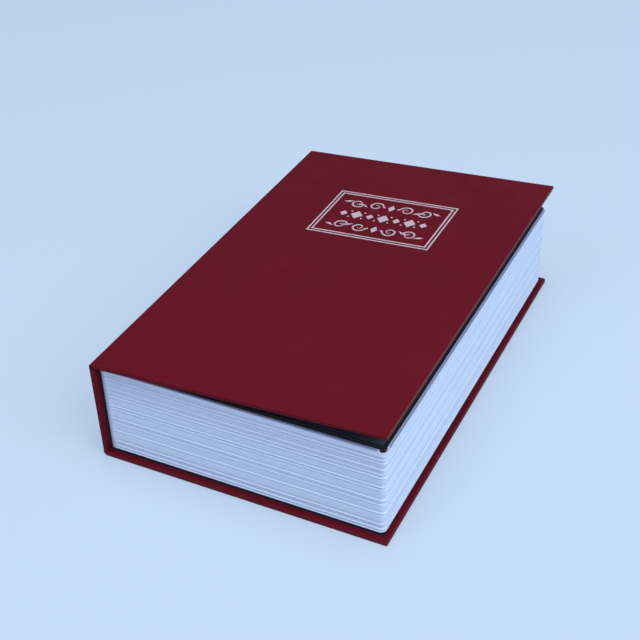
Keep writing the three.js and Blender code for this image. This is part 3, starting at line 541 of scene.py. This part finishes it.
SLOT_MATERIALS = {
    "cover_leatherette": LEATHERETTE,
    "greyboard": BOARD,
    "black_lining": LINING,
    "silver_foil": FOIL,
    "page_plastic": PAGE,
    "steel_paint": PAINT,
    "zinc_steel": ZINC,
    "lock_chrome": CHROME,
    "wafer_brass": BRASS,
    "key_plastic": BLACK,
    "key_nickel": NICKEL,
}

# Radius of the softened edges of each node that shows them
SOFT_EDGES = {
    "lid": 0.2 * MM,
    "box_tray": 0.2 * MM,
    "lock_housing": 0.2 * MM,
    "lock_plug": 0.15 * MM,
    "lock_nut": 0.3 * MM,
    "lock_cam": 0.2 * MM,
    "cam_washer": 0.1 * MM,
    "cam_screw": 0.15 * MM,
    "lock_catch": 0.2 * MM,
    "key_1_head": 0.45 * MM,
    "key_2_head": 0.45 * MM,
    "key_1_blade": 0.12 * MM,
    "key_2_blade": 0.12 * MM,
}


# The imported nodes: a finish, soft edges and even normals
def dress_nodes():
    for entry in frame["record"]["subparts"]:
        node = frame["nodes"][entry["node"]]
        node.data.materials.clear()
        node.data.materials.append(SLOT_MATERIALS[entry["material_slot"]])
        shade(node)
        radius = SOFT_EDGES.get(entry["node"])
        if radius:
            soften(node, radius)


# Case cloth: spine and back cover, two wraps that meet in a mitre at the foot of the spine
def make_case_cloth():
    inner_x = spine_x + cover
    lap_z = spine_top - HINGE_LAP

    def at_lap(v):
        return abs(v.co.z - lap_z) < EDGE_ROUND and v.co.x < inner_x - EDGE_ROUND

    def outer(edge):
        ends = all(abs(v.co.y) > head_y - EDGE_ROUND for v in edge.verts)
        fore = all(v.co.x > fore_x - EDGE_ROUND for v in edge.verts)
        return (ends or fore) and not any(at_lap(v) for v in edge.verts)

    foot = arc(spine_x + FOOT_ROUND, FOOT_ROUND, FOOT_ROUND, 180, 270, FOOT_STEPS)
    mitre = FOOT_STEPS // 2
    spine_wrap = [(inner_x, cover), (inner_x, spine_top), (spine_x + CLOTH, spine_top)]
    spine_wrap += [(spine_x + CLOTH, lap_z), (spine_x, lap_z)] + foot[:mitre + 1]
    back_wrap = [(inner_x, cover)] + foot[mitre:] + [(fore_x, 0), (fore_x, cover)]
    parts = []
    for k, outline in enumerate((spine_wrap, back_wrap)):
        rings = [[(x, y, z) for x, z in outline] for y in (-head_y, head_y)]
        part = rings_to_mesh("case_wrap_" + str(k), rings)
        parts.append(round_edges(part, EDGE_ROUND, outer))
    obj = joined("case_cloth_skin", parts)
    shade(obj, SHARP_CLOTH)
    covered = ("base_cloth", "spine_board", "back_board")
    return dress(obj, "case", LEATHERETTE, "cover_leatherette", *covered)


# Front cover's own frame: x from the fold at the spine, and the outer face at a z of 0
def cover_frame():
    return Matrix.Translation(cover_axis) @ Matrix.Rotation(-tilt, 4, "Y")


# One sheet of cloth over the spine's upper edge, the fold and the whole front cover.
# It has points close together past the fold.
BEND_POINTS = [d * MM for d in (1.4, 1.8, 2.2, 2.6, 3.0, 3.6)]
SLACK = 0.01 * MM
BEND_REACH = BEND_POINTS[-1] - SLACK
FOLD_DEPTH = 2.5 * CLOTH


def make_front_cloth():
    turn = cover_frame()
    back = turn.inverted()

    def local(x, z):
        v = back @ Vector((x, 0, z))
        return (v.x, v.z)

    under = LINING_PROUD - front
    lap_z = spine_top - HINGE_LAP
    fold_z = cover_axis.z - HINGE_ROUND
    outline = [local(spine_x, lap_z), local(spine_x, spine_top)]
    outer_fold = arc(spine_x + HINGE_ROUND, fold_z, HINGE_ROUND, 180, 90, HINGE_STEPS)
    outline += [local(x, z) for x, z in outer_fold]
    outline += [(d, 0) for d in BEND_POINTS] + [(width, 0), (width, under)]
    outline += [(d, under) for d in BEND_POINTS[::-1]] + [(BOARD_START, -FOLD_DEPTH)]
    inner_fold = arc(spine_x + HINGE_ROUND, fold_z, HINGE_ROUND - CLOTH, 90, 180, HINGE_STEPS)
    outline += [local(x, z) for x, z in inner_fold] + [local(spine_x + CLOTH, lap_z)]
    rings = [[(x, y, z) for x, z in outline] for y in (-head_y, head_y)]
    obj = rings_to_mesh("front_cloth_skin", rings)

    def outer(edge):
        if any(v.co.x < BEND_REACH for v in edge.verts):
            return False
        ends = all(abs(v.co.y) > head_y - EDGE_ROUND for v in edge.verts)
        fore = all(v.co.x > width - EDGE_ROUND for v in edge.verts)
        return ends or fore

    round_edges(obj, EDGE_ROUND, outer)
    obj.data.transform(turn)
    shade(obj, SHARP_CLOTH)
    obj.data.materials.append(LEATHERETTE)
    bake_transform(obj)
    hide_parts("front_cloth", "front_board", "hinge_cloth")
    return obj


# Turned-in cloth on the inner faces, mitred at the corners
def mitred_border(x0, x1, y, width_in):
    gap = FLAP_GAP
    inner_x, inner_y = x1 - width_in, y - width_in
    fore = [(x1, -y + gap), (x1, y - gap), (inner_x, inner_y - gap), (inner_x, -inner_y + gap)]
    head = [(x0, y), (x0, inner_y), (inner_x - gap, inner_y), (x1 - gap, y)]
    tail = [(x, -y) for x, y in reversed(head)]
    return [fore, head, tail]


def make_turn_ins():
    under = LINING_PROUD - front
    margin = EDGE_ROUND
    outlines = mitred_border(FRONT_FLAP_START, width - margin, head_y - margin, LINING_BORDER)
    obj = plates("front_turn_ins", outlines, under - FLAP, under + FLAP, cover_frame())
    dress(obj, "front_cover", LEATHERETTE, "cover_leatherette")
    x0 = spine_x + cover + BACK_FLAP_START
    outlines = mitred_border(x0, fore_x - margin, head_y - margin, TURN_IN)
    obj = plates("back_turn_ins", outlines, cover - FLAP, cover + BACK_FLAP_PROUD)
    return dress(obj, "case", LEATHERETTE, "cover_leatherette")


# Black paper pasted over the turn-ins, inside the back cover and up the spine. Its border, which shows as a dark
# line round the foot of the page block, is a dark sheet put where the shade falls there, standing in for that
# shade.
# How far short of the case's edges the paper stops, which sets how wide the dark line standing in for shade shows
PASTE_BORDER = 2.9 * MM
PASTE_BORDER_SPINE = 3.1 * MM
PASTE = 0.12 * MM


def make_back_lining_and_shade_sheet():
    inner_x = spine_x + cover
    y = head_y - PASTE_BORDER
    end = fore_x - PASTE_BORDER
    floor = [(inner_x, -y), (end, -y), (end, y), (inner_x, y)]
    back = plates("back_paste", [floor], cover, cover + PASTE)
    y = head_y - PASTE_BORDER_SPINE
    wall_top = spine_top - PASTE_BORDER
    wall = box_object("spine_paste", (inner_x, -y, cover), (inner_x + PASTE, y, wall_top))
    return dress(joined("back_lining_and_shade", [back, wall]), "case", LINING, "black_lining")


# Page block: bundles of leaves, each a shallow swell under a narrow bead, with grooves between
RIDGE_SLOPE = 0.3 * MM
RIDGE_DEPTH = 0.6 * MM
SHELL_LIP = 1.9 * MM
SHELL_RIM = 1.8 * MM
SHELL_CORNER = 3 * MM
SHELL_WALL = 1.2 * MM
SHELL_GAP = 1 * MM
SHELL_GAP_DEPTH = 1 * MM
SHELL_NOTCH = 3.8 * MM
END_BAND = 3 * MM
BAND_FADE = 1.2 * MM
FORE_LEAN = 0.8 * MM

# Rounded edges of the wall: how far they reach, and a point on the way
RIM_ROUND = 0.3 * MM
ROUND_INSET = 0.08 * MM
FOOT_START = 0.02 * MM
FOOT_ROUND_RISE = 0.12 * MM
TOP_ROUND_DROP = 0.1 * MM
GAP_ROUND = 0.15 * MM

# Groove under the rim, and how it runs out into the rim
RIM_GROOVE = 1.2 * MM
RIM_GROOVE_BELOW = 0.55 * MM
RIM_GROOVE_DEPTH = 0.3 * MM
RIM_GROOVE_EASE = 0.15 * MM
RIM_GROOVE_EASE_DEPTH = 0.05 * MM

# Shares of the wall's height that the bundles take, and of a bundle that its bead and slopes take
BUNDLE_SHARES = (1.8, 3, 7, 5, 3, 6, 2, 5.5, 2, 3, 3.5, 2, 2.5)
BEAD_SHARE = 1.3
BEAD_SLOPE_SHARE = 0.4
BEAD_POINT_SHARES = [k / 10 for k in range(10)]
SWELL_RISE_SHARE = 0.06
SWELL_SLOPE_SHARE = 0.2
SWELL_POINT_SHARES = (0, 0.06, 0.13, 0.2, 0.4, 0.6, 0.8, 0.87, 0.94)
FADE_POINT_SHARES = (0.2, 0.4, 0.6, 0.8, 1)

# How much lower than the wall's face a bead's crest lies, which varies from bead to bead
CREST_SHARE = 0.12
CREST_PHASE = 3.7


def eased(share):
    """Smooth step from 0 to 1."""
    share = min(1, share)
    return share * share * (3 - 2 * share)


def ridge_levels():
    """Heights of the wall, each with its ridge inset and its edge inset."""
    low = cover + SHELL_LIP
    high = shell_high.z - SHELL_RIM - RIM_GROOVE_BELOW
    foot = cover + SHELL_GAP
    scale = (high - low) / sum(BUNDLE_SHARES)
    bead = BEAD_SHARE * scale
    levels = [(cover, 0, SHELL_GAP_DEPTH), (foot, 0, SHELL_GAP_DEPTH)]
    levels += [(foot + FOOT_START, 0, RIM_ROUND), (foot + FOOT_ROUND_RISE, 0, ROUND_INSET)]
    levels += [(foot + RIM_ROUND, 0, 0), (low - RIDGE_SLOPE, 0, 0)]
    z = low
    for k, share in enumerate(BUNDLE_SHARES):
        swell = share * scale - bead
        rise = swell * SWELL_RISE_SHARE
        crest = RIDGE_DEPTH * CREST_SHARE * (1 - math.sin(CREST_PHASE * k))
        for t in SWELL_POINT_SHARES:
            inset = RIDGE_DEPTH - rise * eased(min(t, 1 - t) / SWELL_SLOPE_SHARE)
            levels.append((z + t * swell, inset, 0))
        for t in BEAD_POINT_SHARES:
            inset = RIDGE_DEPTH + (crest - RIDGE_DEPTH) * eased(min(t, 1 - t) / BEAD_SLOPE_SHARE)
            levels.append((z + swell + t * bead, inset, 0))
        z += share * scale
    top = shell_high.z
    groove_top = high + RIM_GROOVE
    levels += [(high, RIM_GROOVE_DEPTH, 0), (groove_top, RIM_GROOVE_DEPTH, 0)]
    levels += [(groove_top + RIM_GROOVE_EASE, RIM_GROOVE_EASE_DEPTH, 0)]
    levels += [(groove_top + 2 * RIM_GROOVE_EASE, 0, 0), (top - RIM_ROUND, 0, 0)]
    levels += [(top - TOP_ROUND_DROP, 0, ROUND_INSET), (top, 0, RIM_ROUND)]
    return levels


# Points of the wall's plan, of which the inner face has INNER_POINTS. Each face has one just clear of
# the notch, because the points that the notch's cut makes carry no shade.
CORNER_STEPS = 10
INNER_POINTS = 2 * (CORNER_STEPS + 1) + 6
NOTCH_CLEAR = SHELL_NOTCH + 1 * MM


def corner_arcs(x1, y, radius):
    """Both rounded corners at the fore-edge and the straight stretch between them."""
    points = []
    for k in range(CORNER_STEPS + 1):
        turn = math.radians(90 * k / CORNER_STEPS)
        points.append((x1 - radius + radius * math.sin(turn), -y + radius - radius * math.cos(turn)))
    points.append((x1, NOTCH_CLEAR - y))
    return points + [(x, -py) for x, py in reversed(points)]


def wall_ring(z, ridge, edge):
    """The wall's closed outline at one height: outer face round from the spine, then inner face."""
    x0 = shell_low.x
    gap_x = x0 + SHELL_GAP
    band = x0 + END_BAND
    y = shell_high.y - edge
    gap_y = shell_high.y - SHELL_GAP_DEPTH
    tail = [(x0, -gap_y), (gap_x - GAP_ROUND, -gap_y), (gap_x, -min(y, gap_y + GAP_ROUND))]
    tail += [(gap_x, -max(gap_y, y - GAP_ROUND)), (gap_x + GAP_ROUND, -y), (band, -y)]
    tail += [(band + BAND_FADE * t, ridge * eased(t) - y) for t in FADE_POINT_SHARES]
    clear_x = shell_high.x - NOTCH_CLEAR
    tail.append((clear_x, ridge - y))
    fore = shell_high.x - FORE_LEAN * (shell_high.z - z) / (shell_high.z - cover)
    corner = corner_arcs(fore - edge - ridge, y - ridge, SHELL_CORNER - edge - ridge)
    head = [(x, -py) for x, py in reversed(tail)]
    inner_y = shell_high.y - SHELL_WALL
    inner = corner_arcs(fore - SHELL_WALL, inner_y, SHELL_CORNER - SHELL_WALL)
    inner = [(x0, inner_y), (clear_x, inner_y)] + inner[::-1] + [(clear_x, -inner_y), (x0, -inner_y)]
    return [(px, py, z) for px, py in tail + corner + head + inner]


# Shade of the grooves: a little lighter low on the wall, and fading round to the fore face
FOOT_TONE_SHARE = 0.85
HEIGHT_TONE_SHARE = 0.35
FORE_FADE_SHARE = 0.45


def wall_tones(levels, plan):
    """Shade of each point of the wall: as deep as its ridge, and darker up the rim."""
    corner_x = shell_high.x - SHELL_CORNER
    foot_x = max(x for x, _, _ in plan)
    fore_shares = [max(0, (x - corner_x) / (foot_x - corner_x)) for x, _, _ in plan]
    inner_start = len(plan) - INNER_POINTS
    groove_top = shell_high.z - SHELL_RIM - RIM_GROOVE_BELOW + RIM_GROOVE
    tones = []
    for z, ridge, _ in levels:
        height_share = (z - cover) / (shell_high.z - cover)
        rim_share = (z - groove_top) / (shell_high.z - groove_top)
        if rim_share > 0:
            tone = RIM_GROOVE_TONE + (RIM_EDGE_TONE - RIM_GROOVE_TONE) * rim_share
            tones += [tone] * inner_start
            tones += [tone * (1 - min(1, fore)) for fore in fore_shares[inner_start:]]
        elif ridge == RIM_GROOVE_DEPTH:
            tones += [RIM_GROOVE_TONE] * len(plan)
        else:
            tone = ridge / RIDGE_DEPTH * (FOOT_TONE_SHARE + HEIGHT_TONE_SHARE * height_share ** 2)
            tones += [tone * (1 - FORE_FADE_SHARE * fore) for fore in fore_shares]
    return tones


# Notch at both fore-edge corners of the wall, just deeper than the lid's underside
NOTCH_BELOW_LID = 0.3 * MM
NOTCH_ROUND = 0.45 * MM
CUTTER_OVER = 5 * MM


def notch_cutters():
    cutters = []
    for side in (-1, 1):
        inner = side * (shell_high.y - SHELL_NOTCH)
        outer = side * (shell_high.y + CUTTER_OVER)
        near, far = sorted((inner, outer))
        low = (shell_high.x - SHELL_NOTCH, near, lid_foot - NOTCH_BELOW_LID)
        high = (shell_high.x + CUTTER_OVER, far, shell_high.z + CUTTER_OVER)
        cutter = box_object("notch_cutter", low, high)
        cutters.append(round_edges(cutter, NOTCH_ROUND, lambda edge: True))
    return cutters


def make_page_block():
    levels = ridge_levels()
    rings = [wall_ring(*level) for level in levels]
    obj = rings_to_mesh("page_block_skin", rings)
    # Painted shade of each point of the wall, which the page material reads
    painted_shade_values = obj.data.attributes.new("painted_wall_shade", "FLOAT", "POINT")
    painted_shade_values.data.foreach_set("value", wall_tones(levels, rings[0]))
    cut_with(obj, notch_cutters())
    shade(obj, SHARP_ROUND)
    return dress(obj, "case", PAGE, "page_plastic", "page_shell")


# Ornament inside the title frame: a row of lozenges and dots between two rows of scrolls and leaves.
# Places along a row are measured from its middle, and the same on both sides of it.
ORNAMENT_LOW = 0.02 * MM
ORNAMENT_HIGH = 0.13 * MM
ROW_RISE = 12.4 * MM
LOZENGE_PITCH = 8 * MM
LOZENGES_EACH_SIDE = 3
LOZENGE_LARGE = 3.5 * MM
LOZENGE_SMALL = 2.2 * MM
LOZENGE_STRETCH = 1.2
DOT = 0.7 * MM
DOT_RISE = 3.2 * MM
ROW_LOZENGE_X = 2 * MM
ROW_LOZENGE_Y = 3.4 * MM
ROW_DOT = 0.8 * MM
ROW_DOT_PLACE = 4.2 * MM
SCROLL_SIZE = 4.2 * MM
INNER_SCROLL_PLACE = 9.2 * MM
OUTER_SCROLL_PLACE = 20.5 * MM
INNER_LEAF_PLACE = 13.6 * MM
INNER_LEAF_DROP = 2.6 * MM
INNER_LEAF_LENGTH = 7 * MM
OUTER_LEAF_PLACE = 24.2 * MM
OUTER_LEAF_RISE = 2.4 * MM
OUTER_LEAF_LENGTH = 5.2 * MM


def lozenge(x, y, half_x, half_y):
    return [(x - half_x, y), (x, y - half_y), (x + half_x, y), (x, y + half_y)]


def ribbon(points, widths):
    """Outline round a path of points, as wide at each point as the widths say."""
    left = []
    right = []
    for k, (x, y) in enumerate(points):
        ax, ay = points[max(0, k - 1)]
        bx, by = points[min(len(points) - 1, k + 1)]
        length = math.hypot(bx - ax, by - ay)
        nx, ny = -(by - ay) / length, (bx - ax) / length
        half = widths[k] / 2
        left.append((x + nx * half, y + ny * half))
        right.append((x - nx * half, y - ny * half))
    return left + right[::-1]


SCROLL_STEPS = 40
SCROLL_TURNS = 1.35
SCROLL_CORE_SHARE = 0.16
SCROLL_POWER = 0.8
SCROLL_THIN = 0.35 * MM
SCROLL_SWELL = 0.65 * MM
SCROLL_SWELL_START = 0.25
SCROLL_SWELL_SPAN = 0.9


def scroll(x, y, hand_x, hand_y):
    """A spiral that winds in from its row's line and is thickest on the way, as quads."""
    points = []
    widths = []
    for k in range(SCROLL_STEPS + 1):
        t = k / SCROLL_STEPS
        turn = 2 * math.pi * SCROLL_TURNS * t
        radius = SCROLL_SIZE * (SCROLL_CORE_SHARE + (1 - SCROLL_CORE_SHARE) * (1 - t) ** SCROLL_POWER)
        points.append((x + hand_x * radius * math.cos(turn), y + hand_y * radius * math.sin(turn)))
        swell = min(1, SCROLL_SWELL_START + SCROLL_SWELL_SPAN * t)
        widths.append(SCROLL_THIN + SCROLL_SWELL * math.sin(math.pi * swell))
    return [ribbon(points[k:k + 2], widths[k:k + 2]) for k in range(SCROLL_STEPS)]


LEAF_STEPS = 12
LEAF_BEND_SHARE = 0.35
LEAF_BEND_TURN = math.pi * 0.55
LEAF_THIN = 0.15 * MM
LEAF_SWELL = 1.5 * MM
LEAF_SWELL_SPAN = 1.05
LEAF_POWER = 1.3


def leaf(x, y, hand_x, hand_y, length):
    """A curved leaf that starts at a point and ends in a tip."""
    points = []
    widths = []
    for k in range(LEAF_STEPS + 1):
        t = k / LEAF_STEPS
        bend = length * LEAF_BEND_SHARE * math.sin(LEAF_BEND_TURN * t)
        points.append((x + hand_x * length * t, y + hand_y * bend))
        swell = math.sin(math.pi * min(1, LEAF_SWELL_SPAN * t))
        widths.append(LEAF_THIN + LEAF_SWELL * swell ** LEAF_POWER)
    return [ribbon(points, widths)]


def lozenge_row(cx, cy):
    outlines = []
    count = LOZENGES_EACH_SIDE
    for k in range(-count, count + 1):
        size = LOZENGE_LARGE if k % 2 == 0 else LOZENGE_SMALL
        outlines.append(lozenge(cx + k * LOZENGE_PITCH, cy, size, size * LOZENGE_STRETCH))
    for k in range(-count, count):
        for side in (-1, 1):
            outlines.append(lozenge(cx + (k + 0.5) * LOZENGE_PITCH, cy + side * DOT_RISE, DOT, DOT))
    return outlines


def scroll_row(cx, row, side):
    outlines = [lozenge(cx, row, ROW_LOZENGE_X, ROW_LOZENGE_Y)]
    for hand in (-1, 1):
        outlines += scroll(cx + hand * INNER_SCROLL_PLACE, row, -hand, side)
        outlines += scroll(cx + hand * OUTER_SCROLL_PLACE, row, -hand, -side)
        inner_x = cx + hand * INNER_LEAF_PLACE
        outlines += leaf(inner_x, row - side * INNER_LEAF_DROP, hand, side, INNER_LEAF_LENGTH)
        outer_x = cx + hand * OUTER_LEAF_PLACE
        outlines += leaf(outer_x, row + side * OUTER_LEAF_RISE, hand, -side, OUTER_LEAF_LENGTH)
        outlines.append(lozenge(cx + hand * ROW_DOT_PLACE, row, ROW_DOT, ROW_DOT))
    return outlines


def make_ornament():
    low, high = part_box("title_frame_inner")
    centre = cover_frame().inverted() @ ((low + high) / 2)
    outlines = lozenge_row(centre.x, centre.y)
    for side in (-1, 1):
        outlines += scroll_row(centre.x, centre.y + side * ROW_RISE, side)
    obj = plates("title_ornament", outlines, ORNAMENT_LOW, ORNAMENT_HIGH, cover_frame())
    return dress(obj, "front_cover", FOIL, "silver_foil")


# Split ring of round wire, smoother than its solid and in the same place
RING_RADIUS = 10.25 * MM
RING_WIRE = 1.2 * MM
RING_PITCH = 1.7 * MM
RING_TURNS = 2
RING_LEAN = math.radians(68)
RING_STEPS = 96 * RING_TURNS
RING_SIDES = 14
RING_END_SHARE = 0.45
RING_TAPER = 6


def make_key_ring():
    low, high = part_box("key_ring")
    turn = Matrix.Translation((low + high) / 2) @ Matrix.Rotation(-RING_LEAN, 4, "Y")
    rings = []
    for i in range(RING_STEPS + 1):
        t = i / RING_STEPS * RING_TURNS
        angle = 2 * math.pi * t
        to_end = min(i, RING_STEPS - i) / RING_STEPS
        height_share = min(1, RING_END_SHARE + RING_TAPER * to_end)
        ring = []
        for j in range(RING_SIDES):
            round_wire = 2 * math.pi * j / RING_SIDES
            radius = RING_RADIUS + RING_WIRE / 2 * math.cos(round_wire)
            rise = RING_WIRE / 2 * math.sin(round_wire) * height_share
            z = RING_PITCH * (t - RING_TURNS / 2) + rise
            ring.append(turn @ Vector((radius * math.cos(angle), radius * math.sin(angle), z)))
        rings.append(ring)
    obj = rings_to_mesh("key_ring_skin", rings)
    shade(obj, SHARP_ROUND)
    return dress(obj, "case", NICKEL, "key_nickel", "key_ring")


# Floor: pale paper that camera and mirror rays see a share brighter than it lights the book
FLOOR_REACH = 6
FLOOR_PAPER = (0.55, 0.585, 0.62)
FLOOR_GLOW = (0.6, 0.76, 1.0, 1)
FLOOR_GLOW_SHARE = 0.45


def make_floor():
    corners = [(x * FLOOR_REACH, y * FLOOR_REACH, 0) for x, y in ((-1, -1), (1, -1), (1, 1), (-1, 1))]
    floor = mesh_object("floor", corners, [(0, 1, 2, 3)])
    material = new_material("floor_paper", FLOOR_PAPER, 0.7, Specular_IOR_Level=0.2)
    g = Graph(material)
    rays = g.add("ShaderNodeLightPath").outputs
    mirrored = g.maths("MAXIMUM", rays["Is Glossy Ray"], rays["Is Transmission Ray"])
    seen = g.maths("MAXIMUM", rays["Is Camera Ray"], mirrored)
    glow = g.add("ShaderNodeEmission", {"Color": FLOOR_GLOW}).outputs[0]
    shaders = {0: g.maths("MULTIPLY", seen, FLOOR_GLOW_SHARE), 1: g.bsdf.outputs[0], 2: glow}
    surface = g.add("ShaderNodeMixShader", shaders).outputs[0]
    g.tree.links.new(surface, g.tree.nodes["Material Output"].inputs["Surface"])
    floor.data.materials.append(material)


# Studio light
WORLD_COLOR = (0.61, 0.78, 1.0, 1)
WORLD_STRENGTH = 0.44
LAMP_TARGET = (0, 0, 0.03)

# Name, place, side, watts and colour of each square lamp
LAMPS = (
    ("key_right", (1.4, -0.5, 1.4), 1.4, 26, (0.69, 0.83, 1.0)),
    ("front_fill", (-0.6, -1.2, 1.6), 1.2, 9, (0.7, 0.81, 1.0)),
    ("top_soft", (0, 0, 1.9), 1.2, 18, (0.72, 0.845, 1.0)),
)


def make_world():
    world = bpy.data.worlds.new("studio")
    world.use_nodes = True
    bpy.context.scene.world = world
    background = world.node_tree.nodes["Background"]
    background.inputs["Color"].default_value = WORLD_COLOR
    background.inputs["Strength"].default_value = WORLD_STRENGTH


def area_light(name, place, side, power, color):
    lamp = bpy.data.lights.new(name, "AREA")
    lamp.shape = "RECTANGLE"
    lamp.size = side
    lamp.size_y = side
    lamp.energy = power
    lamp.color = color
    obj = link(bpy.data.objects.new(name, lamp))
    obj.location = place
    obj.rotation_mode = "QUATERNION"
    obj.rotation_quaternion = (Vector(LAMP_TARGET) - Vector(place)).to_track_quat("-Z", "Y")


def make_lights():
    for lamp in LAMPS:
        area_light(*lamp)


def make_camera():
    camera = bpy.data.cameras.new("photo_camera")
    camera.sensor_width = SENSOR_SIDE
    camera.lens = FOCAL_PX * SENSOR_SIDE / PHOTO_SIDE_PX
    camera.clip_start = CLIP_START
    camera.clip_end = CLIP_END
    obj = link(bpy.data.objects.new("photo_camera", camera))
    right = CAMERA_RIGHT.normalized()
    up = -(CAMERA_DOWN - right * CAMERA_DOWN.dot(right)).normalized()
    back = right.cross(up)
    turn = Matrix((right, up, back)).transposed().to_4x4()
    obj.matrix_world = Matrix.Translation(CAMERA_PLACE) @ turn
    bpy.context.scene.camera = obj


bpy.context.scene.view_settings.view_transform = "Standard"
make_camera()
make_world()
make_lights()
make_floor()
dress_nodes()
make_case_cloth()
make_front_cloth()
make_turn_ins()
make_back_lining_and_shade_sheet()
make_page_block()
make_ornament()
make_key_ring()
